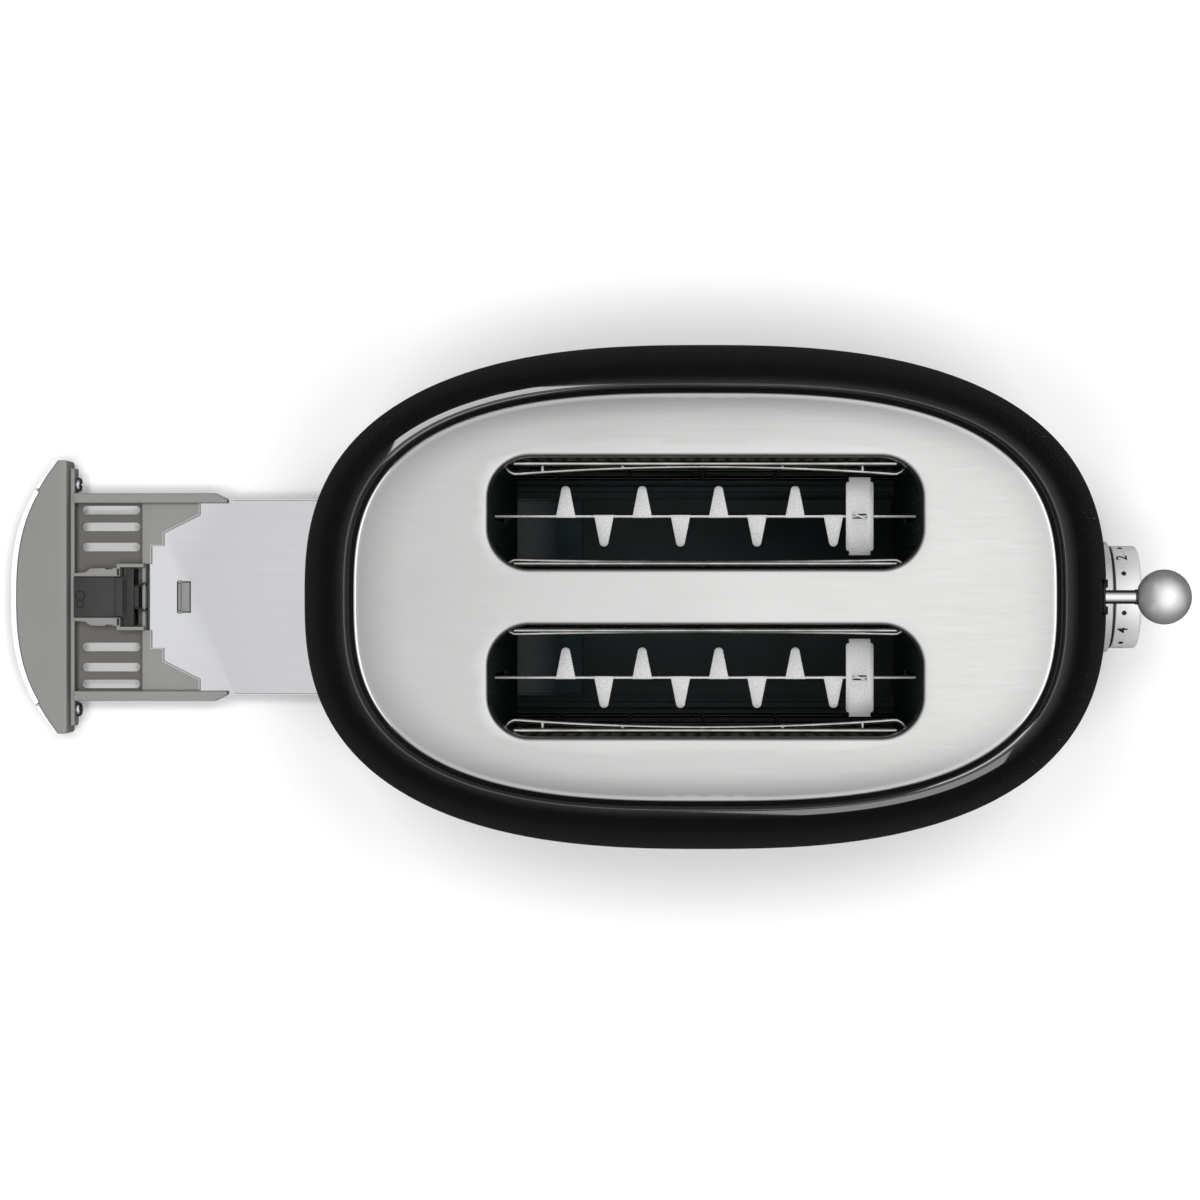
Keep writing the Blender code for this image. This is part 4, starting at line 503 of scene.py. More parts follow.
# Finishes
def makeFinishes():
    made = {}

    enamel = Finish("gloss_enamel", 0.003, 0.08, Specular_IOR_Level=0.42)
    flow = enamel.noise(38, 3)
    enamel.set(Roughness=enamel.spread(flow, 0.05, 0.1))
    enamel.set(Base_Color=enamel.mix(enamel.noise(9, 2), (0.003, 0.003, 0.0032), (0.0055, 0.0055, 0.0055)))
    enamel.bump(enamel.noise(260, 2), 0.000012, 0.6)
    made["enamel"] = enamel

    satin = Finish("satin_steel", 0.66, 0.3, 1)
    grain = satin.noise(70, 4, (0.35, 12, 6), 0.65)
    tone = satin.ramp(satin.noise(9, 2), (0.3, (0.62, 0.615, 0.61)), (0.7, (0.70, 0.695, 0.69)))
    satin.set(Base_Color=tone, Roughness=satin.spread(grain, 0.27, 0.36))
    satin.bump(grain, 0.000015, 0.5)
    made["satin"] = satin

    polishes = (  # name, shade, roughness, metallic
        ("polished", 0.78, 0.10, 1), ("bright_rim", 0.96, 0.18, 0.6), ("soft_chrome", 0.95, 0.38, 0.8),
        ("dial_metal", 0.97, 0.28, 0.25), ("silver_plastic", 0.88, 0.3, 0.3),
    )
    for name, shade, rough, metallic in polishes:
        bright = Finish(name + "_steel", shade, rough, metallic)
        smudge = bright.noise(90, 4)
        bright.set(Roughness=bright.spread(smudge, rough * 0.7, rough * 1.7))
        bright.set(Base_Color=bright.mix(smudge, shade * 0.96, (shade, shade, shade * 1.005)))
        bright.bump(bright.noise(1400, 2), 0.000002, 0.4)
        made[name] = bright

    baseInside = Finish("base_inside", 0.02, 0.5)  # black plastic below; its top face inside is a lighter teal: painted light for the dim floor under the slots
    paintedLightTone = baseInside.mix(baseInside.noise(70, 5), (0.015, 0.022, 0.025), (0.031, 0.041, 0.046))
    upper = baseInside.spread(baseInside.axis("Z"), 0, 1, 0.0066, 0.0070)
    baseInside.set(Base_Color=baseInside.mix(upper, baseInside.mix(baseInside.noise(26, 4), 0.010, 0.022), paintedLightTone))
    baseInside.bump(baseInside.noise(700, 3), 0.00004, 0.7)
    made["base_inside"] = baseInside

    moulded = (  # name, low colour, high colour, roughness, grain scale, bump depth
        ("grey_plastic", (0.206, 0.203, 0.198), (0.242, 0.239, 0.232), 0.42, 1500, 0.000025),
        # the vent plastic is a darker copy of the grey: painted shade for the recessed vent floor
        ("vent_plastic", (0.090, 0.085, 0.078), (0.118, 0.113, 0.106), 0.5, 1500, 0.000025),
        ("black_plastic", (0.012, 0.012, 0.013), (0.024, 0.024, 0.026), 0.45, 1300, 0.00003),
        ("latch_plastic", (0.017, 0.017, 0.0185), (0.030, 0.030, 0.032), 0.42, 1300, 0.00002),
        # the rib plastic is a lighter copy of the grey: a painted highlight along the raised ribs
        ("rib_plastic", (0.34, 0.335, 0.325), (0.42, 0.415, 0.405), 0.38, 1500, 0.00002),
        ("rubber", (0.015, 0.015, 0.015), (0.035, 0.034, 0.033), 0.78, 900, 0.00005),
        ("base_plastic", (0.010, 0.010, 0.011), (0.022, 0.022, 0.022), 0.55, 700, 0.00006),
    )
    for name, low, high, rough, scale, depth in moulded:
        plastic = Finish(name, low, rough)
        cloud = plastic.noise(26, 4)
        plastic.set(Base_Color=plastic.mix(cloud, low, high))
        plastic.set(Roughness=plastic.spread(plastic.noise(55, 5), rough * 0.85, rough * 1.2))
        plastic.bump(plastic.noise(scale, 3), depth, 0.7)
        made[name] = plastic

    speckled = Finish("galvanised_sheet", 0.6, 0.5, 0.6)
    flakes = speckled.noise(2100, 4, roughness=0.75)
    speckled.set(
        Base_Color=speckled.ramp(flakes, (0.3, (0.44, 0.445, 0.46)), (0.5, 0.72), (0.72, 0.92)),
        Roughness=speckled.spread(flakes, 0.38, 0.62),
    )
    speckled.bump(flakes, 0.00002, 0.6)
    made["speckled"] = speckled

    darkSheets = (  # dark teal sheet with upright streaks: name, dark, light, metallic, roughness
        ("liner", (0.012, 0.022, 0.024), (0.050, 0.068, 0.068), 0.45, 0.45),
        ("reflector", (0.012, 0.022, 0.025), (0.050, 0.066, 0.070), 0.6, 0.42),
    )
    for name, low, high, metallic, rough in darkSheets:
        dark = Finish(name + "_sheet", low, rough, metallic)
        streaks = dark.noise(60, 5, (1, 1, 0.08), 0.7)
        dark.set(Base_Color=dark.mix(streaks, low, high), Roughness=dark.spread(streaks, rough, rough * 1.3))
        dark.bump(dark.noise(300, 3, (1, 1, 0.2)), 0.00002, 0.5)
        made[name] = dark

    pan = Finish("brushed_pan", 0.56, 0.34, 1)
    lines = pan.noise(160, 5, (0.06, 6, 1), 0.7)
    underBodyShade = pan.spread(pan.axis("X") - bodyMid, 0, 1, -0.135, -0.06)  # the end under the slots is painted dark teal: painted shade from the body above it
    unshaded = pan.mix(lines, (0.64, 0.645, 0.66), (0.76, 0.765, 0.785))
    shadedTone = pan.mix(pan.noise(90, 5), (0.034, 0.046, 0.051), (0.018, 0.026, 0.029))
    pan.set(Base_Color=pan.mix(underBodyShade, unshaded, shadedTone), Roughness=pan.spread(lines, 0.28, 0.42))
    pan.bump(lines, 0.00002, 0.5)
    made["pan"] = pan

    wire = Finish("guard_wire", 0.72, 0.22, 1)
    tint = wire.noise(140, 3)
    unshaded = wire.spread(wire.axis("Z"), 0, 1, 0.150, 0.172)
    bright = wire.ramp(tint, (0.3, (0.40, 0.395, 0.385)), (0.7, 0.66))
    wire.set(Base_Color=wire.mix(unshaded, (0.05, 0.045, 0.04), bright))  # painted shade darkens it lower down in the slot
    wire.set(Roughness=wire.spread(tint, 0.16, 0.3))
    made["wire"] = wire

    zinc = Finish("zinc_screw", 0.6, 0.3, 1)
    zincTone = zinc.noise(420, 3)
    zinc.set(Base_Color=zinc.mix(zincTone, (0.5, 0.52, 0.55), (0.75, 0.77, 0.8)))
    zinc.set(Roughness=zinc.spread(zincTone, 0.2, 0.4))
    made["zinc"] = zinc

    plain = (  # name, low, high, roughness, metallic, noise scale, stretch
        ("mica", (0.20, 0.17, 0.13), (0.42, 0.38, 0.31), 0.5, 0, 180, (1, 1, 3)),
        ("ribbon", (0.16, 0.14, 0.13), (0.30, 0.27, 0.25), 0.4, 0.9, 300, (1, 1, 1)),
        ("laminate", (0.015, 0.07, 0.03), (0.03, 0.13, 0.06), 0.4, 0, 120, (1, 1, 1)),
        ("winding", (0.32, 0.12, 0.05), (0.62, 0.28, 0.13), 0.35, 0.9, 900, (0.02, 0.02, 3)),
        ("iron", (0.22, 0.21, 0.20), (0.42, 0.41, 0.40), 0.5, 0.9, 500, (1, 1, 0.1)),
        ("spring_steel", (0.42, 0.42, 0.43), (0.66, 0.66, 0.67), 0.28, 1, 260, (1, 1, 1)),
        ("ink", (0.004, 0.004, 0.004), (0.012, 0.012, 0.012), 0.5, 0, 900, (1, 1, 1)),
    )
    for name, low, high, rough, metallic, scale, stretch in plain:
        stuff = Finish(name, low, rough, metallic)
        grainy = stuff.noise(scale, 4, stretch)
        stuff.set(Base_Color=stuff.mix(grainy, low, high))
        stuff.set(Roughness=stuff.spread(grainy, rough * 0.8, rough * 1.25))
        stuff.bump(grainy, 0.00002, 0.5)
        made[name] = stuff
    return made


finishes = makeFinishes()


def paint(finish, *names):
    for name in names:
        for slot in nodes[name].material_slots:
            slot.material = finishes[finish].material


# Camera: straight down, over a point a little right of the toaster's middle
camera = {"height": 1.2, "aside": 0.0006, "focusPixels": 2932, "photoPixels": 1200, "axisPixel": (707, 597)}


def makeCamera():
    data = bpy.data.cameras.new("camera")
    data.sensor_width = 36
    data.lens = data.sensor_width * camera["focusPixels"] / camera["photoPixels"]
    half = camera["photoPixels"] / 2
    across, down = camera["axisPixel"]
    data.shift_x = (half - across) / camera["photoPixels"]
    data.shift_y = (down - half) / camera["photoPixels"]
    eye = placed("camera", data)
    eye.location = (bodyMid + camera["aside"], 0, camera["height"])
    bpy.context.scene.camera = eye


# Light: four soft sheets overhead. The other three lamps only mirror in the enamel, where they draw its lines.
overhead = {"middle": (0.06, 0.01), "apart": 0.33, "height": 1.8, "size": 0.42, "watts": 9.2}
lamps = [
    {"name": f"overhead_{i}", "aim": (0.05, 0, 0.1), "size": (overhead["size"], overhead["size"]),
     "watts": overhead["watts"], "place": (overhead["middle"][0] + overhead["apart"] * x,
                                           overhead["middle"][1] + overhead["apart"] * y, overhead["height"])}
    for i, (x, y) in enumerate(((-1, -1), (1, -1), (1, 1), (-1, 1)))
] + [
    {"name": name, "place": place, "aim": (0.05, 0, 0.19), "size": size, "watts": watts, "drawsOn": "enamel"}
    for name, place, size, watts in (
        ("crest_line", (0.05, 0, 1.8), (0.5, 0.5), 2.4),
        ("rear_crescent", (-0.58, 1.185, 1.06), (0.87, 1.1), 38),
        ("front_band", (0.58, -1.31, 0.94), (1.0, 1.16), 20),
    )
]
sky = {"level": 0.28, "lean": 0.5, "shades": (
    (0.0, 0.06), (0.25, 0.14), (0.5, 0.4), (0.68, 0.62), (0.82, 0.97), (0.95, 1.18), (1.0, 1.15),
)}
floorLook = {"reach": 6, "colour": 0.9, "lift": 0.015, "mirrored": 0.02, "below": 0.0002}


def makeLamps():
    bpy.data.collections.new("enamel")
    for lamp in lamps:
        data = bpy.data.lights.new(lamp["name"], "AREA")
        data.shape = "RECTANGLE"
        data.size, data.size_y = lamp["size"]
        data.energy = lamp["watts"]
        light = placed(lamp["name"], data)
        place = Vector(lamp["place"])
        turn = (Vector(lamp["aim"]) - place).to_track_quat("-Z", "Y")
        light.matrix_world = Matrix.Translation(place) @ turn.to_matrix().to_4x4()
        draws = "drawsOn" in lamp
        light.visible_glossy, light.visible_diffuse = draws, not draws
        if draws:
            light.light_linking.receiver_collection = bpy.data.collections[lamp["drawsOn"]]


# The sky that lights the object is plain. What mirrors in it darkens towards the horizon, as dark studio flags do.
def makeWorld():
    world = bpy.data.worlds.new("studio")
    world.use_nodes = True
    studio = Tree()
    studio.tree = world.node_tree
    seen = world.node_tree.nodes.new("ShaderNodeLightPath")
    direct, mirrored, through = (
        Flow(studio, seen.outputs[name]) for name in ("Is Camera Ray", "Is Glossy Ray", "Is Transmission Ray")
    )
    along, _, upward = studio.parts(studio.node("ShaderNodeTexCoord", {}, output="Generated"))
    flags = studio.node("ShaderNodeValToRGB", {"stops": sky["shades"]}, {"Fac": upward})
    plain = studio.node("ShaderNodeBackground", {}, {"Color": 1.0, "Strength": sky["level"]})
    white = studio.node("ShaderNodeBackground", {}, {"Color": 1.0, "Strength": 1.0})
    leaning = 1 + along * sky["lean"]  # the lever end of the studio is the brighter one
    gradient = studio.node("ShaderNodeBackground", {}, {"Color": flags, "Strength": leaning})
    lit = studio.node("ShaderNodeMixShader", {}, {0: mirrored, 1: plain, 2: gradient})
    blend = studio.node("ShaderNodeMixShader", {}, {0: direct + through, 1: lit, 2: white})
    world.node_tree.links.new(blend.socket, world.node_tree.nodes["World Output"].inputs["Surface"])
    bpy.context.scene.world = world


def makeFloor():
    reach = floorLook["reach"]
    corners = [(reach * x, reach * y, -floorLook["below"]) for x, y in ((-1, -1), (1, -1), (1, 1), (-1, 1))]
    floor = meshPiece("floor", corners, [(0, 1, 2, 3)], outward=False)
    paper = Finish("white_paper", floorLook["colour"], 0.95, Specular_IOR_Level=0.0)
    seen = paper.tree.nodes.new("ShaderNodeLightPath")
    direct, mirrored = (Flow(paper, seen.outputs[name]) for name in ("Is Camera Ray", "Is Glossy Ray"))
    glow = paper.node("ShaderNodeEmission", {}, {"Color": 1.0, "Strength": floorLook["lift"]})
    clear = paper.node("ShaderNodeEmission", {}, {"Color": 0.0, "Strength": 0.0})
    lift = paper.node("ShaderNodeMixShader", {}, {0: direct, 1: clear, 2: glow})
    both = paper.node("ShaderNodeAddShader", {}, {0: Flow(paper, paper.shader.outputs[0]), 1: lift})
    shaded = paper.node("ShaderNodeEmission", {}, {"Color": 1.0, "Strength": floorLook["mirrored"]})
    whole = paper.node("ShaderNodeMixShader", {}, {0: mirrored, 1: both, 2: shaded})
    paper.tree.links.new(whole.socket, paper.tree.nodes["Material Output"].inputs["Surface"])
    floor.data.materials.append(paper.material)


makeCamera()
makeLamps()
makeWorld()
makeFloor()
bpy.context.scene.view_settings.view_transform = "Standard"
print("studio set")


# Shared Geometry Nodes shapes
def rowShape():  # the template again and again along a line
    row = Shape("row_of", Count=4, Start=(0.0, 0.0, 0.0), Step=(0.01, 0.0, 0.0))
    values = {"Count": row.count, "Start Location": row.start, "Offset": row.step}
    line = row.node("GeometryNodeMeshLine", {"mode": "OFFSET"}, values)
    placed = row.node("GeometryNodeInstanceOnPoints", {}, {"Points": line, "Instance": row.template})
    return row.end(placed)


def cornerShape():  # the template at the corners of an upright rectangle's plan
    corners = Shape("at_corners", Centre=(0.0, 0.0, 0.0), Length=0.1, Width=0.1)
    values = {"Size X": corners.length, "Size Y": corners.width, "Vertices X": 2, "Vertices Y": 2}
    grid = corners.node("GeometryNodeMeshGrid", {}, values)
    moved = corners.node("GeometryNodeSetPosition", {}, {"Geometry": grid, "Offset": corners.centre})
    placed = corners.node("GeometryNodeInstanceOnPoints", {}, {"Points": moved, "Instance": corners.template})
    return corners.end(placed)


def ringShape():  # the template turned about an X axis through the centre, step by step
    ring = Shape("ring_of", Count=8, Centre=(0.0, 0.0, 0.0), First=0.0, Pitch=0.1)
    points = ring.node("GeometryNodePoints", {}, {"Count": ring.count, "Position": ring.centre})
    index = ring.node("GeometryNodeInputIndex")
    turn = ring.vector(ring.first + ring.pitch * index)
    values = {"Points": points, "Instance": ring.template, "Rotation": turn}
    return ring.end(ring.node("GeometryNodeInstanceOnPoints", {}, values))


def ovalPoint(shape, angle, halfLength, halfWidth, exponent):  # a superellipse's point at an angle, as nodes
    places = []
    for operation, reach in (("COSINE", halfLength), ("SINE", halfWidth)):
        wave = angle.maths(operation, angle)
        places.append(wave.maths("SIGN", wave) * abs(wave) ** (2 / exponent) * reach)
    return places


def beadShape():  # a round bead along a superellipse
    bead = Shape("oval_bead", Length=0.12, Width=0.07, Exponent=2.85, Height=0.188, Centre=0.0, Radius=0.001)
    turn = bead.node("GeometryNodeSplineParameter", {}, output="Factor") * (2 * math.pi)
    x, y = ovalPoint(bead, turn, bead.length, bead.width, bead.exponent)
    loop = bead.node("GeometryNodeCurvePrimitiveCircle", {}, {"Resolution": 320, "Radius": 1.0})
    values = {"Geometry": loop, "Position": bead.vector(x + bead.centre, y, bead.height)}
    path = bead.node("GeometryNodeSetPosition", {}, values)
    section = bead.node("GeometryNodeCurvePrimitiveCircle", {}, {"Resolution": 14, "Radius": bead.radius})
    return bead.end(bead.node("GeometryNodeCurveToMesh", {}, {"Curve": path, "Profile Curve": section}))


rowOf, atCorners, ringOf, ovalBead = rowShape(), cornerShape(), ringShape(), beadShape()


# Casing: black enamel over an oval that is widest low down and rounds over to the rim
casing = {
    "widest": 0.070, "tuck": 0.0095, "tuckPower": 3.0, "shoulder": 0.035, "along": 0.032, "across": 0.0265,
    "power": 0.74, "exponent": 2.57, "topExponent": 2.85, "wall": 0.0014, "levels": 90, "sides": 280,
    "slotHalf": 0.0035, "slotMargin": 0.005, "endInset": 0.001, "roundFrom": 0.8, "slump": 0.47,
    "crest": 0.975, "groove": 0.003, "clearance": 0.0003,
}
casingLow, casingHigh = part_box("body_shell")
casingHalf = span("body_shell") / 2 - Vector((casing["endInset"], 0, 0))
# The last part of the shoulder slumps into a crest, the highest line, inside which the casing falls to the top plate
roundPart = 1 - casing["roundFrom"]
crestAt = (casing["crest"] - casing["roundFrom"]) / roundPart
shoulderRise = casingHigh.z - casing["shoulder"]
shoulderRise /= casing["roundFrom"] + roundPart * (crestAt - casing["slump"] * crestAt**2)
ball = middle("lever_ball")
dialAt = middle("dial_bezel")
leverTravel = -joints["lever_slide"]["range_m"][0]


def casingAxes(height):
    low = max((casing["widest"] - height) / (casing["widest"] - casingLow.z), 0)
    high = min(max((height - casing["shoulder"]) / shoulderRise, 0), 1)
    tuck = casing["tuck"] * low ** casing["tuckPower"]
    bend = 1 - (1 - high**2) ** casing["power"]
    exponent = casing["exponent"] + (casing["topExponent"] - casing["exponent"]) * bend
    return casingHalf.x - tuck - casing["along"] * bend, casingHalf.y - tuck - casing["across"] * bend, exponent


def casingFace(height, y=0.0):  # X of the lever end's outer face
    halfLength, halfWidth, exponent = casingAxes(height)
    return bodyMid + halfLength * (1 - (abs(y) / halfWidth) ** exponent) ** (1 / exponent)


def leverSlot(*fineness):  # the slot's outline, as (Y, Z)
    half, margin = casing["slotHalf"], casing["slotMargin"]
    top, low = ball.z + margin, ball.z - leverTravel - margin
    return roundedBox(0, (top + low) / 2, half * 2, top - low, half * 0.98, *fineness)


def casingShape():
    shape = Shape(
        "oval_casing", Length=0.15, Width=0.1, Bottom=0.02, Widest=0.07, Tuck=0.01, Shoulder=0.04, Rise=0.16,
        Along=0.03, Across=0.03, Exponent=2.57, Gain=0.28, Centre=0.0, Levels=60, Sides=200,
    )
    values = {"Size X": 1.0, "Size Y": 1.0, "Vertices X": shape.sides, "Vertices Y": shape.levels}
    grid = shape.node("GeometryNodeMeshGrid", {}, values)
    u, v, _ = shape.parts(shape.node("GeometryNodeInputPosition"))
    risen = 1 - (0.5 - v).maths("POWER", 0.5 - v, 1.9)  # the levels crowd together where the shoulder turns in
    height = shape.bottom + (shape.shoulder + shape.rise - shape.bottom) * risen
    low = height.maths("MAXIMUM", (shape.widest - height) / (shape.widest - shape.bottom), 0.0)
    high = height.maths("MINIMUM", (height - shape.shoulder) / shape.rise, 1.0)
    high = high.maths("MAXIMUM", high, 0.0)
    bend = 1 - (1 - high * high) ** casing["power"]
    tuck = shape.tuck * low ** casing["tuckPower"]
    x, y = ovalPoint(
        shape, (u + 0.5) * (2 * math.pi), shape.length - tuck - shape.along * bend,
        shape.width - tuck - shape.across * bend, shape.exponent + shape.gain * bend,
    )
    past = high.maths("MAXIMUM", (high - casing["roundFrom"]) / roundPart, 0.0)
    within = high.maths("MAXIMUM", (high - casing["crest"]) / (1 - casing["crest"]), 0.0)
    rounded = height - past * past * shape.rise * (roundPart * casing["slump"]) - within * within * casing["groove"]
    values = {"Geometry": grid, "Position": shape.vector(x + shape.centre, y, rounded)}
    formed = shape.node("GeometryNodeSetPosition", {}, values)
    return shape.end(shape.node("GeometryNodeMergeByDistance", {}, {"Geometry": formed, "Distance": hair / 20}))


def makeCasing():
    shell = casingShape().make(
        "casing", "enamel", Length=casingHalf.x, Width=casingHalf.y, Bottom=casingLow.z,
        Widest=casing["widest"], Tuck=casing["tuck"], Shoulder=casing["shoulder"], Rise=shoulderRise,
        Along=casing["along"], Across=casing["across"], Exponent=casing["exponent"],
        Gain=casing["topExponent"] - casing["exponent"], Centre=bodyMid, Levels=casing["levels"],
        Sides=casing["sides"] + 1,
    )
    facing(shell, (0, 0, 1))
    modified(shell, "SOLIDIFY", thickness=casing["wall"], offset=-1, use_even_offset=True)
    start, end = bodyMid + casingHalf.x - 0.03, bodyMid + casingHalf.x + 0.01
    tools = [prism("slot", leverSlot(), start, end, "X")]
    for name in ("dial_bezel", "push_button_1", "push_button_2", "push_button_3"):
        place, radius = middle(name), span(name).y / 2 + casing["clearance"]
        tools.append(turned("hole", [(radius, start), (radius, end)], (0, place.y, place.z), sides=72))
    cutBy(shell, *tools)
    dress(shell, "enamel", "toaster", "enamel", "body_shell", smooth=50)
    bpy.data.collections["enamel"].objects.link(shell)


makeCasing()
print("casing made")


# Top plate: satin steel dome, its edge rolled down and the two slots rolled in
plate = {
    "power": 2.2, "border": 0.86, "borderDrop": 0.0012, "exponent": 2.85, "edge": 0.0011, "slotRoll": 0.0016,
    "slotDrop": 0.0085, "wall": 0.0009, "slotLength": 0.149, "slotWidth": 0.0387, "slotCorner": 0.014,
    "slotY": 0.029, "crownBase": 0.1873, "rim": 0.0008, "sides": 260, "grain": 0.0034,
    "guides": (0.0021, 0.0033, 0.0047, 0.0063, 0.0081, 0.0101, 0.0125, 0.0152),  # rings of points inside the edge
}


def makeTopPlate():
    half, power, roll = span("top_plate") / 2, plate["exponent"], plate["slotRoll"]
    low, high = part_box("top_plate")

    def ring(inset):
        return superellipse(half.x - inset, half.y - inset, power, plate["sides"])

    def reach(x, y):  # 0 in the middle, 1 at the edge, before the root
        return (abs(x - bodyMid) / half.x) ** power + (abs(y) / half.y) ** power

    def crown(x, y):
        share = min(reach(x, y) ** (1 / power), 1)
        past = max(share - plate["border"], 0) / (1 - plate["border"])  # the dome turns down a little at its border
        drop = plate["borderDrop"]
        rise = high.z - plate["crownBase"] - drop
        return x, y, plate["crownBase"] + rise * (1 - share ** plate["power"]) + drop * (1 - past**2)

    slots = [
        roundedBox(
            bodyMid, side * plate["slotY"], plate["slotLength"] + 2 * roll, plate["slotWidth"] + 2 * roll,
            plate["slotCorner"] + roll, 14, 0.003,
        )
        for side in (-1, 1)
    ]
    guides = [ring(inset) for inset in plate["guides"]]
    dome = sheet("top_dome", ring(plate["edge"]), slots, plate["grain"], crown, guides)
    rolledEdges(dome, roll, plate["slotDrop"])
    with opened(dome) as shape:
        for vert in shape.verts:  # the outer edge rolls tighter and goes no deeper than its seat
            share = reach(vert.co.x, vert.co.y)
            if share > 0.97 ** power:
                vert.co.z = max(vert.co.z, low.z + 0.0004)
                over = share ** (1 / power)
                if over > 1:
                    vert.co.x = bodyMid + (vert.co.x - bodyMid) / over
                    vert.co.y /= over
    facing(dome, (0, 0, 1))
    modified(dome, "SOLIDIFY", thickness=plate["wall"], offset=-1)
    dress(dome, "satin", "toaster", "brushed_top", "top_plate", smooth=60)
    inset = plate["rim"] + hair / 2
    rim = ovalBead.make(
        "top_rim", "bright_rim", Length=half.x - inset, Width=half.y - inset, Exponent=plate["exponent"],
        Height=plate["crownBase"] - plate["rim"] * 0.55, Centre=bodyMid, Radius=plate["rim"],
    )
    dress(tidied(rim), "bright_rim", "toaster", "bright_metal")


makeTopPlate()
print("top plate made")


# Bread guards: wires that stand on a hinge wire, with a bowed wire in front
guard = {
    "wire": 0.00085, "uprights": 5, "overhang": 0.0105, "shift": -0.001, "levels": (0.3, 0.6, 0.977),
    "endGap": 0.012, "bowDrop": 0.009, "hook": 0.0036, "hookDepth": 0.0024,
    "outer": (0.0034, 0.0026), "inner": (0.0013, 0.0008),  # the bowed wire's depth at its ends, and its bow
}


def guardShape():
    tree = Shape("wire_guard", Origin=(0.0, 0.0, 0.0), Side=1.0, Half=0.07, Height=0.13, Wire=0.001, Uprights=5,
                 Inset=0.01, Shift=0.0, Ends=0.003, Bow=0.002, BowDrop=0.01)
    curves = []

    def wireOf(start, end):
        return tree.node("GeometryNodeCurvePrimitiveLine", {}, {"Start": start, "End": end})

    offset = tree.side * tree.wire * 1.8
    reach = tree.half - tree.inset
    row = tree.node(
        "GeometryNodeMeshLine", {"mode": "END_POINTS"},
        {"Count": tree.uprights, "Start Location": tree.vector(tree.shift - reach),
         "Offset": tree.vector(tree.shift + reach)},
    )
    upright = wireOf(tree.vector(), tree.vector(z=tree.height * guard["levels"][-1]))
    curves.append(tree.node("GeometryNodeInstanceOnPoints", {}, {"Points": row, "Instance": upright}))
    curves[0] = tree.node("GeometryNodeRealizeInstances", {}, {"Geometry": curves[0]})
    hinge = tree.half + guard["endGap"]
    curves.append(wireOf(tree.vector(0 - hinge), tree.vector(hinge)))
    for share in guard["levels"]:
        z, y = tree.height * share, 0.0 if share == guard["levels"][-1] else offset
        curves.append(wireOf(tree.vector(0 - tree.half, y, z), tree.vector(tree.half, y, z)))
    z = tree.height - tree.bowDrop
    x, _, _ = tree.parts(tree.node("GeometryNodeInputPosition"))

    def depth(along):  # the bowed wire's distance in front of the uprights; its ends hook back
        share = along / tree.half
        inner = share.maths("MINIMUM", share * share, 1.0)
        past = share.maths("MAXIMUM", abs(along) - tree.half, 0.0) / guard["hook"]
        return 0 - tree.side * (tree.ends - tree.bow * (1 - inner) - guard["hookDepth"] * past * past)

    far = tree.half + guard["hook"]
    bowed = wireOf(tree.vector(0 - far, 0, z), tree.vector(far, 0, z))
    bowed = tree.node("GeometryNodeResampleCurve", {}, {"Curve": bowed, "Count": 90})
    values = {"Geometry": bowed, "Offset": tree.vector(0, depth(x), 0)}
    curves.append(tree.node("GeometryNodeSetPosition", {}, values))
    link = wireOf(tree.vector(), tree.vector(0, 1, 0))
    values = {"Points": row, "Instance": link, "Scale": tree.vector(1, depth(x), 1)}
    links = tree.node("GeometryNodeInstanceOnPoints", {}, values)
    links = tree.node("GeometryNodeRealizeInstances", {}, {"Geometry": links})
    curves.append(tree.node("GeometryNodeSetPosition", {}, {"Geometry": links, "Offset": tree.vector(0, 0, z)}))
    whole = tree.node("GeometryNodeJoinGeometry", {}, {"Geometry": curves})
    section = tree.node("GeometryNodeCurvePrimitiveCircle", {}, {"Resolution": 12, "Radius": tree.wire})
    values = {"Curve": whole, "Profile Curve": section, "Fill Caps": True}
    wires = tree.node("GeometryNodeCurveToMesh", {}, values)
    return tree.end(tree.node("GeometryNodeSetPosition", {}, {"Geometry": wires, "Offset": tree.origin}))


def makeGuards():
    tree = guardShape()
    for name, side in (
        ("guard_front_outer", -1), ("guard_front_inner", 1), ("guard_rear_inner", -1), ("guard_rear_outer", 1)
    ):
        hinge = joints[name + "_hinge"]["pos_m"]
        ends, bow = guard[name.split("_")[2]]
        low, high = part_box(name)
        wires = tree.make(
            name + "_wires", "wire", Origin=tuple(hinge), Side=float(side),
            Half=(high.x - low.x) / 2 - guard["endGap"], Height=high.z - hinge[2], Wire=guard["wire"],
            Uprights=guard["uprights"], Inset=guard["overhang"], Shift=guard["shift"], Ends=ends, Bow=bow,
            BowDrop=guard["bowDrop"],
        )
        dress(wires, "wire", name, "wire_steel", name, smooth=50)


makeGuards()
print("bread guards made")


# Lift bars: sheet on edge, with tabs bent out to each side in turn, and a cross pad at the lever end
lift = {"sheet": 0.0008, "tabs": 4, "first": -0.0502, "pitch": 0.0275, "base": 0.0066, "tip": 0.0033, "reach": 0.0105,
        "padNotch": 0.0011, "padFlange": 0.0016, "lockLength": 0.0052, "lockTurn": -24}


def tabTemplate(name, side):
    foot, tip = lift["base"] / 2, lift["tip"] / 2
    outline = [(-foot - 0.0004, -lift["sheet"] * 1.15), (-foot, 0.0006)]
    outline += arc(0, lift["reach"] - tip, tip, 2, 0, 12)
    outline += [(foot, 0.0006), (foot + 0.0004, -lift["sheet"] * 1.15)]
    return softened(prism(name, [(x, side * y) for x, y in outline], -lift["sheet"], 0), 0.00015)


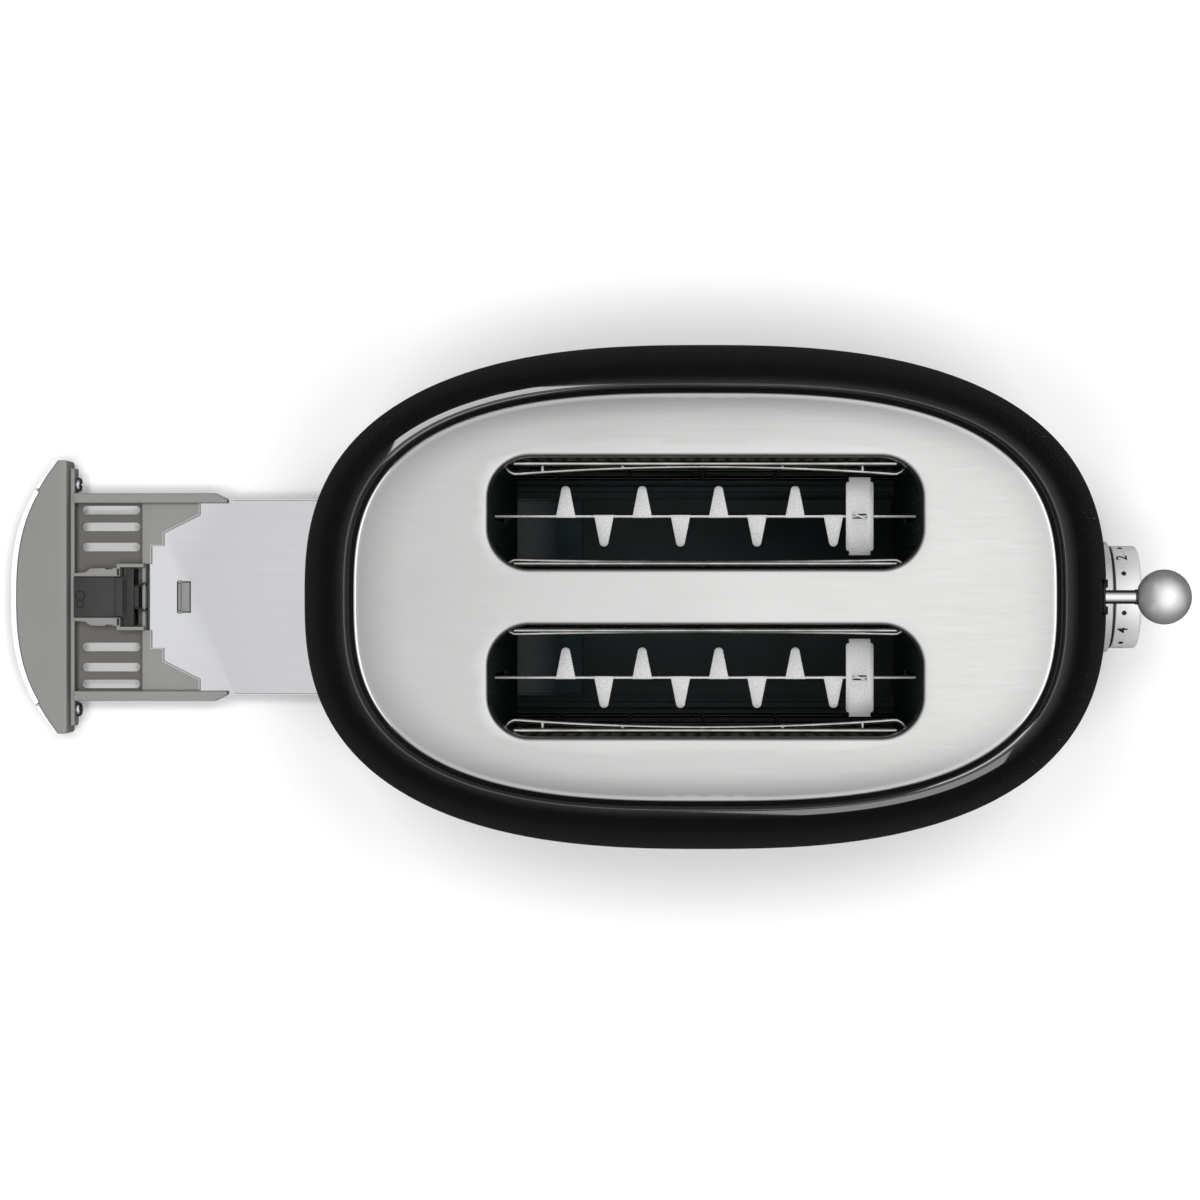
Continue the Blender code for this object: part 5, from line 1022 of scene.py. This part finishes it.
def makeLiftBars():
    for name in ("front", "rear"):
        low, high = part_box(f"lift_bar_{name}")
        y = middle(f"lift_bar_{name}").y
        half = lift["sheet"] / 2
        bar = block(f"lift_blade_{name}", (low.x, y - half, low.z), (high.x, y + half, high.z), 0.00015)
        for side, start in ((1, lift["first"]), (-1, lift["first"] + lift["pitch"] / 2)):
            tabs = rowOf.make(
                "tabs", "speckled", tabTemplate("tab", side), Count=lift["tabs"],
                Start=(bodyMid + start, y + side * half, high.z + 0.0001), Step=(lift["pitch"], 0.0, 0.0),
            )
            joined(bar, tabs)
        dress(bar, "speckled", "lever", "wire_steel", f"lift_bar_{name}")
        makePad(name, y)


def makePad(name, y):
    low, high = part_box(f"bread_pad_{name}")
    notch, flange = lift["padNotch"], lift["padFlange"]
    half, top, middleX = (high.y - low.y) / 2, high.z, (low.x + high.x) / 2
    outline = []
    for signX, signY in ((1, 1), (-1, 1), (-1, -1), (1, -1)):
        wideX = high.x if signX > 0 else low.x
        endX = wideX - signX * notch
        corner = [(wideX, signY * (half - flange - 0.0008)), (wideX - signX * 0.0004, signY * (half - flange)),
                  (endX, signY * (half - flange)), (endX, signY * half)]
        outline += corner if signX * signY > 0 else corner[::-1]
    pad = prism(f"bread_rest_{name}", [(x, y + v) for x, v in outline], top - lift["sheet"], top)
    window = roundedBox(middleX, y, lift["lockLength"], 0.0017, 0.0006, 4)
    cutBy(pad, prism("window", window, top - 0.003, top + 0.003))
    softened(pad, 0.00012)
    for side in (-1, 1):
        edge = y + side * half
        near, far = sorted((edge - side * lift["sheet"], edge - side * hair))
        lipLow = (low.x + notch + hair, near, low.z)
        joined(pad, block("lip", lipLow, (high.x - notch - hair, far, top - 0.0003), 0.0002))
    # the bar's lug comes up through the window and is twisted to lock the pad
    reach, thin = lift["lockLength"] / 2, 0.00035
    lug = block("lock", (-reach, -thin, -0.0022), (reach, thin, 0.0007), 0.0001)
    turn = Matrix.Rotation(math.radians(lift["lockTurn"]), 4, "Z")
    lug.data.transform(Matrix.Translation((middleX, y, top)) @ turn)
    joined(pad, lug)
    dress(pad, "speckled", "lever", "wire_steel", f"bread_pad_{name}")


makeLiftBars()
print("lift bars made")


# Lever: bright ball on its stem, with a dark collar, in a black strip on the casing
lever = {"ball": 0.010, "stem": 0.0025, "socket": 0.0030, "socketDepth": 0.004, "collar": 0.00025,
         "collarLength": 0.0014, "collarGap": 0.0006, "chamfer": 0.0003}
strip = {"half": 0.0065, "corner": 0.003, "thickness": 0.0006, "gap": 0.0001}


def makeLever():
    radius, rod, chamfer = lever["ball"], lever["stem"], lever["chamfer"]
    start = math.pi - math.asin(lever["socket"] / radius)
    back, bore = ball.x - radius, lever["socket"] - chamfer
    profile = [(hair / 100, back + lever["socketDepth"]), (bore, back + lever["socketDepth"]), (bore, back + 0.0007)]
    for step in range(49):
        angle = start * (1 - step / 48)
        profile.append((max(radius * math.sin(angle), hair / 100), ball.x + radius * math.cos(angle)))
    knob = turned("lever_knob", profile, (0, 0, ball.z), sides=96)
    dress(knob, "soft_chrome", "lever", "bright_metal", "lever_ball", smooth=40)
    low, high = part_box("lever_stem")
    profile = [(hair, low.x), (rod - chamfer, low.x), (rod, low.x + chamfer), (rod, high.x - chamfer),
               (rod - chamfer, high.x), (hair, high.x)]
    stem = turned("lever_rod", profile, (0, 0, ball.z), sides=48)
    dress(stem, "polished", "lever", "bright_metal", "lever_stem")
    near = back - lever["collarGap"]
    far = near + lever["collarLength"]
    inner, outer = rod + hair / 2, rod + lever["collar"]
    profile = [(inner, near), (outer, near), (outer, far), (inner, far)]
    collar = turned("lever_collar", profile, (0, 0, ball.z), sides=48, hollow=True)
    dress(collar, "black_plastic", "lever", "black_plastic", "lever_neck")


def makeLeverStrip():
    low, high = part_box("lever_trim")
    fine = 0.002
    outline = roundedBox(0, (low.z + high.z) / 2, 2 * strip["half"], high.z - low.z, strip["corner"], 6, fine)
    out = strip["gap"] + strip["thickness"]
    face = sheet("lever_strip", outline, [leverSlot(8, fine)], fine, lambda y, z: (casingFace(z, y) + out, y, z))
    facing(face, (1, 0, 0))
    modified(face, "SOLIDIFY", thickness=strip["thickness"], offset=-1)
    softened(face, 0.0002, 2, 60)
    dress(face, "enamel", "toaster", "black_plastic", "lever_trim")


makeLever()
makeLeverStrip()
print("lever made")


# Browning dial: bright knob with figures and dots round its rim, in a satin surround
dial = {
    "radius": 0.0199, "edge": 0.0013, "blackRing": 0.0011, "crown": 0.0006, "shaft": 0.003, "pocket": 0.0023,
    "figures": "123456", "pitch": 44.8, "lean": 4.6, "figureHeight": 0.0041, "figureAlong": 0.0044, "dot": 0.00095,
    "ink": 0.00006, "bold": 0.00006,
}
bezel = {"edge": 0.0007, "bore": 0.0036, "clearance": 0.0002, "floor": 0.002}
button = {"edge": 0.0008, "chamfer": 0.0003}


def makeDial():
    low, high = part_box("dial")
    bezelBack, bezelFront = (corner.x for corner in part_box("dial_bezel"))
    radius, edge, shaft, centre = dial["radius"], dial["edge"], dial["shaft"], (0, dialAt.y, dialAt.z)
    back, ringEnd, flat = bezelBack + dial["pocket"], bezelFront + dial["blackRing"], high.x - dial["crown"]
    profile = [(hair, low.x), (shaft, low.x), (shaft, back), (radius - 0.0008, back),
               (radius - 0.0008, ringEnd - 0.0002),
               (radius - 0.0004, ringEnd), (radius, ringEnd + 0.0003)]
    profile += arc(radius - edge, flat - edge, edge, 0, 1, 8)
    for share in (1 - step / 12 for step in range(1, 12)):
        profile.append(((radius - edge) * share, high.x - dial["crown"] * share**2))
    profile.append((hair / 100, high.x))
    knob = turned("dial_knob", profile, centre, sides=144)
    dress(knob, "dial_metal", "dial", "bright_metal", "dial", smooth=40)
    outer, inner = radius + 0.00004, radius - 0.0012
    profile = [(inner, bezelFront - 0.001), (outer, bezelFront - 0.001), (outer, ringEnd - 0.0003),
               (outer - 0.0004, ringEnd + hair / 2), (inner, ringEnd + hair / 2)]
    band = turned("dial_band", profile, centre, sides=144, hollow=True)
    dress(band, "black_plastic", "dial", "black_plastic")
    makeDialFigures(bezelFront + dial["figureAlong"])
    # a plain pointer line on the face
    mark = block(
        "dial_pointer", (high.x - 0.0009, dialAt.y - 0.0006, dialAt.z + radius * 0.62),
        (high.x - 0.00035, dialAt.y + 0.0006, dialAt.z + radius * 0.90), 0.0001,
    )
    dress(mark, "ink", "dial", "black_plastic")


def makeDialFigures(alongX):
    lean, pitch, radius = math.radians(dial["lean"]), math.radians(dial["pitch"]), dial["radius"]
    centre = Vector((alongX, dialAt.y, dialAt.z))
    parts = []
    for i, figure in enumerate(dial["figures"]):
        data = bpy.data.curves.new("figure", "FONT")
        data.body = figure
        data.size = dial["figureHeight"] * 1.42
        data.align_x, data.align_y = "CENTER", "CENTER"
        data.extrude, data.offset = dial["ink"], dial["bold"]
        part = solidOf("figure", data)
        angle = pitch * (i - 2) - lean  # figure 3 stands nearest the top, towards the rear go the lower ones
        for vert in part.data.vertices:  # rolled onto the rim, its top towards the casing
            across, up, out = vert.co
            turn = angle - across / radius
            reach = radius + out * 0.5 + 0.00002
            vert.co = centre + Vector((-up, -reach * math.sin(turn), reach * math.cos(turn)))
        parts.append(part)
    profile = [(hair / 50, 0), (dial["dot"], 0), (dial["dot"], dial["ink"]), (hair / 50, dial["ink"])]
    dot = turned("dot", profile, (0, 0, radius - 0.00001), "Z", 20)
    first = lean + pitch * 2.5
    dots = ringOf.make("dots", "ink", dot, Count=7, Centre=tuple(centre), First=-first, Pitch=pitch)
    figures = joined(parts[0], *parts[1:], dots)
    figures.name = "dial_figures"
    dress(tidied(figures), "ink", "dial", "black_plastic")


def makeBezel():
    low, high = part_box("dial_bezel")
    outer, edge, small, floor = span("dial_bezel").y / 2, bezel["edge"], bezel["clearance"], low.x + bezel["floor"]
    wide = dial["radius"] + small
    profile = [(bezel["bore"], low.x), (outer, low.x), *arc(outer - edge, high.x - edge, edge, 0, 1, 6),
               (wide + small, high.x), (wide, high.x - small), (wide, floor), (bezel["bore"], floor)]
    surround = turned("dial_surround", profile, (0, dialAt.y, dialAt.z), sides=144, hollow=True)
    dress(surround, "silver_plastic", "toaster", "bright_metal", "dial_bezel", smooth=40)
    surround.visible_glossy = False


def makeButtons():
    edge, chamfer = button["edge"], button["chamfer"]
    for name in ("push_button_1", "push_button_2", "push_button_3"):
        low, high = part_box(name)
        place, radius = middle(name), span(name).y / 2
        profile = [(hair / 50, low.x), (radius - chamfer, low.x), (radius, low.x + chamfer)]
        profile += arc(radius - edge, high.x - edge, edge, 0, 1, 6)
        profile += [(radius * share, high.x - chamfer * (1 - share**2)) for share in (0.6, 0.4, 0.2)]  # a dished face
        profile.append((hair / 50, high.x - chamfer))
        cap = turned(name + "_cap", profile, (0, place.y, place.z))
        dress(cap, "bright_rim", name, "bright_metal", name, smooth=40)


makeDial()
makeBezel()
makeButtons()
print("dial and buttons made")


# Crumb tray, pulled out: grip with its bright strip, plastic frame, latch and steel pan
tray = {
    "half": 0.055, "front": -0.145, "sideHalf": 0.0875, "exponent": 2.57, "back": -0.122203, "stripHalf": 0.0434,
    "stripDepth": 0.00235, "stripRound": 0.0012, "wedge": 0.0015, "wedgeFall": 0.7, "seam": 0.00015, "soften": 0.0005,
    "corner": 0.0012,
}
tub = {  # along X from the tray's middle, across from the middle line
    "start": -0.120203, "end": -0.091903, "floor": 0.0093, "under": 0.0078, "flangeHalf": 0.052, "flangeTop": 0.016,
    "side": 0.0419, "rail": 0.0379, "railEnd": -0.058203, "railTop": 0.018, "chamfer": 0.0025, "skirt": 0.0403,
    "riser": 0.0014, "wing": 0.0125, "wingTop": 0.0140, "wingReach": 0.022, "wingBend": 0.0074, "wingNotch": 0.0025,
    "tip": 0.0331, "slope": 0.0258, "step": 0.0206, "rib": 0.0006, "ribTop": 0.0145,
    "ventStart": -0.1188, "ventEnd": -0.0950, "ventWidth": 0.00345, "vents": (0.0203, 0.0285, 0.0353),
    "pocket": 0.0083, "pocketTop": 0.0175, "pocketEnd": -0.101603, "pocketOuter": 0.0117, "pocketFoot": 0.0097,
    "pocketWave": ((0.1046, 0.0117), (0.1046, 0.0112), (0.1076, 0.0112), (0.1076, 0.0117), (0.1136, 0.0115),
                   (0.1158, 0.0099)),
    "headWall": 0.0014, "headInner": 0.012, "headOuter": 0.0134,
    "screw": {"bore": 0.0015, "head": 0.0022, "shaft": 0.0012, "length": 0.008, "set": 0.0025},
}
latch = {
    "ringX": 0.0026, "rings": ((0.0006, 0.0016), (-0.0029, 0.0013)),  # Y and radius
    "armRadius": 0.00035, "armLap": 0.0016,
    "armStart": ((0, 0.0045, 0.0191), (0.0030, 0.0049, 0.0176)),
    "armEnd": ((-0.0007, 0.0055, 0.0168), (0.0006, 0.0056, 0.0164), (0.0009, 0.0050, 0.0157),
               (0.0004, 0.0047, 0.0152)),
}


def frontX(y):
    power = tray["exponent"]
    return trayShift + tray["front"] * (1 - (abs(y) / tray["sideHalf"]) ** power) ** (1 / power)


def stripDepth(y):  # the strip's ends are rounded
    left = max(abs(y) - (tray["stripHalf"] - tray["stripRound"]), 0) / tray["stripRound"]
    return tray["stripDepth"] * math.sqrt(max(1 - left * left, 0.02))


def makeTrayCover():
    low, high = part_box("tray_cover")
    half, ends, seam, fall = tray["half"], tray["stripHalf"], tray["seam"], tray["wedgeFall"]
    ys = [ends * (2 * i / 72 - 1) for i in range(73)]
    front = [(frontX(y) + seam, y) for y in ys] + [(frontX(y) + seam + stripDepth(y), y) for y in reversed(ys)]
    strips = [softened(prism("tray_strip", front, low.z, high.z), 0.0002)]
    for side in (-1, 1):  # beside the strip a thin wedge runs out to the cover's corner
        ways = [ends + seam * 2 + (half - ends - seam * 2) * i / 14 for i in range(15)]
        wedge = [(frontX(y), side * y) for y in ways]
        for i, y in reversed(list(enumerate(ways))):
            wedge.append((frontX(y) + tray["wedge"] * (1 - i / 14) ** fall + 0.0002, side * y))
        strips.append(softened(prism("wedge", wedge, low.z + 0.0002, high.z - 0.0004), 0.00015))
    dress(joined(*strips), "bright_rim", "tray", "bright_metal", "tray_skin", smooth=20)
    outline = []
    for y in (half * (2 * i / 120 - 1) for i in range(121)):
        if abs(y) <= ends:
            inset = seam * 2 + stripDepth(y)
        else:
            inset = seam + tray["wedge"] * (1 - (abs(y) - ends) / (half - ends)) ** fall + 0.0003
        outline.append((frontX(y) + inset, y))
    corner, back = tray["corner"], trayShift + tray["back"]
    outline += arc(back - corner, half - corner, corner, 1, 0, 6)
    outline += arc(back - corner, corner - half, corner, 0, -1, 6)
    grip = softened(prism("tray_grip", outline, low.z, high.z), tray["soften"], 3, 40)
    dress(grip, "grey_plastic", "tray", "grey_plastic", "tray_cover", smooth=20)


def makeTrayFrame():
    out = trayShift
    start, end, railEnd, jut = (out + tub[key] for key in ("start", "end", "railEnd", "pocketEnd"))
    under, floor, wide = tub["under"], tub["floor"], tub["side"]
    base = block("floor", (start - hair, -wide + hair, under), (end - hair, wide - hair, floor))
    centre, length = out + (tub["ventStart"] + tub["ventEnd"]) / 2, tub["ventEnd"] - tub["ventStart"]
    for y in tub["vents"]:
        for side in (-1, 1):
            vent = roundedBox(centre, side * y, length, tub["ventWidth"], tub["ventWidth"] * 0.49)
            cutBy(base, prism("vent", vent, under - 0.001, floor + 0.001))
    softened(base, 0.0002)
    base.name = "tray_frame_floor"
    low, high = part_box("tray_frame")
    flangeTop = (start, tub["flangeHalf"], tub["flangeTop"])
    flange = block("tray_frame_moulding", (low.x, -tub["flangeHalf"], under), flangeTop)
    bore = tub["screw"]["bore"]
    for place in sorted((middle("tray_screw_1"), middle("tray_screw_2")), key=lambda at: at.y):
        hole = turned("hole", [(bore, low.x - 0.001), (bore, start + 0.001)], (0, place.y, place.z), sides=24)
        cutBy(flange, hole)
    softened(flange, 0.0004)
    riser = (end - tub["riser"], -wide, under)
    parts = [block("riser", riser, (end, wide, tub["wingTop"] - 0.0001), 0.0002)]
    ribs = []
    for side in (-1, 1):
        makeTrayHalf(side, start, end, railEnd, jut, parts, ribs)
    backing = (end - hair, tub["headInner"], tub["wingTop"])
    parts.append(block("backing", (end - tub["riser"], -tub["headInner"], under), backing, 0.0002))
    # the recessed vent floor takes the darker plastic: painted shade
    dress(base, "vent_plastic", "tray", "grey_plastic")
    dress(joined(flange, *parts), "grey_plastic", "tray", "grey_plastic", "tray_frame")
    rib = joined(*ribs)
    rib.name = "tray_frame_ribs"
    # the ribs' lighter plastic is a painted highlight along their raised edges
    dress(softened(rib, 0.0001), "rib_plastic", "tray", "grey_plastic")


def makeTrayHalf(side, start, end, railEnd, jut, parts, ribs):  # what the frame has on each side of the middle
    rail, wide, chamfer, inner, wing = (tub[key] for key in ("rail", "side", "chamfer", "pocket", "wing"))
    floor, outer, pocketTop = tub["floor"] - 0.0002, tub["headOuter"], tub["pocketTop"]

    def upright(name, points, low, high, soft, segments=2):
        parts.append(softened(prism(name, [(x, side * y) for x, y in points], low, high), soft, segments))

    outline = [(start - hair, rail), (railEnd, rail), (railEnd, wide - chamfer), (railEnd - 2 * chamfer, wide),
               (start - hair, wide)]
    upright("rail", outline, wing, tub["railTop"], 0.0005, 3)
    near, far = sorted((side * tub["skirt"], side * (wide - hair)))
    skirtTop = (railEnd - 2 * chamfer, far, wing + hair)
    parts.append(block("skirt", (start - hair, near, tub["under"]), skirtTop, 0.0002))
    edge, bend, notch = end + tub["wingReach"], end + tub["wingBend"], end + tub["wingNotch"]
    root = end - tub["riser"] + hair
    outline = [(root, rail + hair), (edge, rail + hair), (edge, tub["tip"]), (bend, tub["slope"]),
               (bend, tub["step"]), (notch, tub["step"]), (notch, outer), (root, outer)]
    upright("wing", outline, wing, tub["wingTop"], 0.00015)
    path = [(x - 0.0003, side * (y + 0.0003)) for x, y in outline[1:7]]  # a thin rib follows the wing's edge
    ribs.append(ribAlong("rib", path, tub["rib"], wing, tub["ribTop"]))
    outline = [(start - hair, inner), (jut, inner), (jut, tub["pocketOuter"]),
               *((trayShift - x, y) for x, y in tub["pocketWave"]), (start - hair, tub["pocketFoot"])]
    upright("wall", outline, floor, pocketTop, 0.0003)
    back = jut - tub["headWall"]
    outline = [(back, inner + hair), (jut - hair, inner + hair), (jut - hair, tub["headInner"]),
               (end - hair, tub["headInner"]), (end - hair, outer), (back, outer)]
    upright("head", outline, floor, pocketTop, 0.0002)


def makeTrayScrews():
    screw = tub["screw"]
    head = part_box("tray_screw_1")[1].x - screw["set"]
    for i in (1, 2):
        place = middle(f"tray_screw_{i}")
        piece = crossScrew(
            f"tray_screw_{i}_cross", span("tray_screw_1").y / 2, screw["head"], screw["shaft"], screw["length"]
        )
        turn = Matrix.Rotation(math.radians(90), 4, "Y") @ Matrix.Rotation(math.radians(28 + 31 * i), 4, "Z")
        piece.data.transform(Matrix.Translation((head, place.y, place.z)) @ turn)
        dress(piece, "zinc", "tray", "screw_steel", f"tray_screw_{i}", smooth=50)


def makeLatch():
    dress(refined("latch_housing"), "latch_plastic", "tray", "black_plastic", "latch_housing")
    low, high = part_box("latch_housing")
    lidTop = (high.x + 0.0030, high.y - 0.0002, high.z + 0.0007)
    lid = block("latch_lid", (high.x - 0.0006, low.y + 0.0002, high.z - 0.0001), lidTop, 0.0002)
    dress(lid, "latch_plastic", "tray", "black_plastic")
    rings = []
    for y, radius in latch["rings"]:  # two raised rings, as an ejector pin leaves them
        section = ((0, -0.0002), (0, 0.0001), (0.0002, 0.00025), (0.0004, 0.0001), (0.0004, -0.0002))
        profile = [(radius + out, high.z + up) for out, up in section]
        rings.append(turned("latch_rings", profile, (low.x + latch["ringX"], y, 0), "Z", 40, hollow=True))
    dress(joined(*rings), "black_plastic", "tray", "black_plastic")
    dress(refined("latch_plunger"), "black_plastic", "latch", "black_plastic", "latch_plunger")
    start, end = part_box("latch_plunger")[1].x - latch["armLap"], trayShift + tub["end"]
    for side in (-1, 1):
        path = [(start + x, side * y, z) for x, y, z in latch["armStart"]]
        path += [(end + x, side * y, z) for x, y, z in latch["armEnd"]]
        arm = wirePath("latch_arm_" + "ab"[side > 0], path, latch["armRadius"])
        dress(arm, "black_plastic", "tray", "black_plastic")


def makePan():
    dress(refined("crumb_pan", 0.0002), "pan", "tray", "pan_steel", "crumb_pan", smooth=10)
    low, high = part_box("pan_clip")
    clip = block("pan_tab", (low.x + 0.0012, low.y, low.z), tuple(high), 0.0002)
    stepTop = (low.x + 0.0011, high.y - 0.0004, high.z + 0.0004)
    joined(clip, block("step", (low.x, low.y + 0.0004, low.z), stepTop, 0.0002))
    for side in (-1, 1):
        near, far = sorted((side * (high.y - 0.0002), side * (high.y + 0.0009)))
        ear = block("ear", (low.x - hair, near, high.z + hair), (low.x + 0.0016, far, high.z + 0.0007), 0.00015)
        joined(clip, ear)
    dress(clip, "grey_plastic", "tray", "grey_plastic", "pan_clip")


makeTrayCover()
makeTrayFrame()
makeTrayScrews()
makeLatch()
makePan()
print("tray made")


# Base: ring, plate with vents, rubber feet and screws
base = {
    "halfLength": 0.145, "halfWidth": 0.0875, "exponent": 2.57, "wall": 0.0025, "round": 0.001, "soft": 0.0003,
    "mouth": 0.0556, "vents": 13, "ventPitch": 0.008, "ventWidth": 0.0032, "ventLength": 0.05,
}
sole = {"rings": 3, "first": 0.0022, "pitch": 0.0018, "depth": 0.0005}


def makeBase():
    low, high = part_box("base_ring")
    roll, soft, wall = base["round"], base["soft"], base["wall"]
    rings = []
    for inset, z in ((roll, low.z), (soft, low.z + soft), (0, low.z + roll), (0, high.z - roll),
                     (soft, high.z - soft), (roll, high.z), (wall, high.z), (wall, low.z)):
        ring = superellipse(base["halfLength"] - inset, base["halfWidth"] - inset, base["exponent"], 260)
        rings.append([(x, y, z) for x, y in ring])
    ring = skinned("base_band", rings, closed=True)
    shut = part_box("tray_frame")[0].x - joints["tray_slide"]["range_m"][0]  # the frame's front, with the tray shut
    cutBy(ring, block("mouth", (bodyMid - 0.16, -base["mouth"], 0.0055), (shut - 0.0003, base["mouth"], 0.03)))
    way, bore = middle("cord_gland"), span("cord_gland").x / 2 + 0.0003
    cutBy(ring, turned("hole", [(bore, 0.05), (bore, 0.1)], (way.x, 0, way.z), "Y", 48))
    dress(ring, "base_plastic", "toaster", "black_plastic", "base_ring", smooth=50)
    floor = refined("base_plate", 0)
    vent = prism("vent", roundedBox(0, 0, base["ventWidth"], base["ventLength"], 0.0015), 0.004, 0.0063)
    vents = rowOf.make("vents", "base_plastic", vent, Count=base["vents"],
                       Start=(bodyMid - 0.055, 0.0, 0.0), Step=(base["ventPitch"], 0.0, 0.0))
    cutBy(floor, tidied(vents))
    dress(floor, "base_inside", "toaster", "black_plastic", "base_plate")
    makeFeet()


def atFour(name, node, template, finish, slot, z=0.0, smooth=28):  # the template in the place of four like nodes
    names = [f"{node}_{i}" for i in (1, 2, 3, 4)]
    places = [middle(each) for each in names]
    xs, ys = [place.x for place in places], [place.y for place in places]
    made = atCorners.make(
        name, finish, template, Centre=(sum(xs) / 4, sum(ys) / 4, z), Length=max(xs) - min(xs),
        Width=max(ys) - min(ys),
    )
    dress(made, finish, "toaster", slot, *names, smooth=smooth)


def makeFeet():
    low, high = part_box("foot_1")
    radius = (high.x - low.x) / 2
    profile = [(hair, high.z), (radius, high.z), (radius, low.z + 0.001), (radius - 0.0003, low.z + 0.0003),
               (radius - 0.001, low.z)]
    for i in range(sole["rings"]):
        edge, deep = radius - sole["first"] - sole["pitch"] * i, low.z + sole["depth"]
        profile += [(edge, low.z), (edge - 0.0002, deep), (edge - 0.0007, deep), (edge - 0.0009, low.z)]
    profile.append((hair, low.z))
    atFour("rubber_feet", "foot", turned("foot", profile, (0, 0, 0), "Z", 56), "rubber", "foot_rubber")
    low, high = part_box("base_screw_1")
    screw = crossScrew("screw", (high.x - low.x) / 2 - hair, 0.0013, 0.0015, high.z - low.z - 0.0016)
    screw.data.transform(Matrix.Rotation(math.pi, 4, "X"))
    atFour("base_screws", "base_screw", screw, "zinc", "screw_steel", low.z + 0.0015, 50)


makeBase()
print("base made")


# Inner frame and heaters
inner = {"platesX": 0.0757, "ribsY": (-0.0155, 0.0051), "ribs": 3, "ribStep": 0.0052, "ribLow": 0.085,
         "ribTop": 0.178,
         "windings": 26, "ribbon": 0.0022, "ribbonMargin": 0.006}
gland = {"bore": 0.0034, "grooves": 4, "grooveDepth": 0.0006}


def makeInner():
    for name, side in (("end_plate_left", -1), ("end_plate_right", 1)):
        wall = refined(name, 0)
        face = bodyMid + side * (inner["platesX"] - 0.0001)
        for slotY in (-plate["slotY"], plate["slotY"]):  # pressed ribs towards the bread, clear of the bar's slit
            for start in inner["ribsY"]:
                top = (face + 0.0003, 0.0007, inner["ribTop"])
                rib = block("rib", (face - 0.0003, -0.0007, inner["ribLow"]), top, 0.0002)
                joined(wall, rowOf.make("ribs", "liner", rib, Count=inner["ribs"],
                                        Start=(0.0, slotY + start, 0.0), Step=(0.0, inner["ribStep"], 0.0)))
        dress(wall, "liner", "toaster", "dark_steel", name)
    half, margin = inner["ribbon"] / 2, inner["ribbonMargin"]
    for name in ("heater_front", "heater_centre", "heater_rear"):
        low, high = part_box(name)
        dress(refined(name, 0), "mica", "toaster", "mica", name)
        ribbon = block("ribbon", (-half, low.y - 0.00012, low.z + margin), (half, high.y + 0.00012, high.z - margin))
        step = (high.x - low.x - 2 * margin) / (inner["windings"] - 1)
        wound = rowOf.make(name + "_ribbon", "ribbon", ribbon, Count=inner["windings"],
                           Start=(low.x + margin, 0.0, 0.0), Step=(step, 0.0, 0.0))
        dress(wound, "ribbon", "toaster", "wire_steel")


def makeGland():
    low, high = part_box("cord_gland")
    place, radius, deep = middle("cord_gland"), span("cord_gland").x / 2, gland["grooveDepth"]
    bore, count = gland["bore"], gland["grooves"] * 2
    profile = [(bore, low.y), (radius, low.y)]
    for i in range(1, count + 1):
        y = low.y + (high.y - low.y) / (count + 1) * i
        here, last = (radius - deep, radius) if i % 2 else (radius, radius - deep)
        profile += [(last, y - 0.0002), (here, y)]
    profile += [(radius, high.y - 0.0004), (radius - 0.0004, high.y), (bore, high.y)]
    sleeve = turned("cord_sleeve", profile, (place.x, 0, place.z), "Y", 64, hollow=True)
    dress(sleeve, "rubber", "toaster", "black_plastic", "cord_gland")


makeInner()
makeGland()
paint("reflector", "reflector_front", "reflector_rear")
paint("zinc", "carriage", "guide_rod", "tray_striker")
paint("spring_steel", "return_spring")
paint("iron", "armature", "magnet_core")
paint("winding", "magnet_coil")
paint("laminate", "control_board")
paint("black_plastic", "potentiometer", "switch_1", "switch_2", "switch_3", "terminal_block")
print("inner parts made")
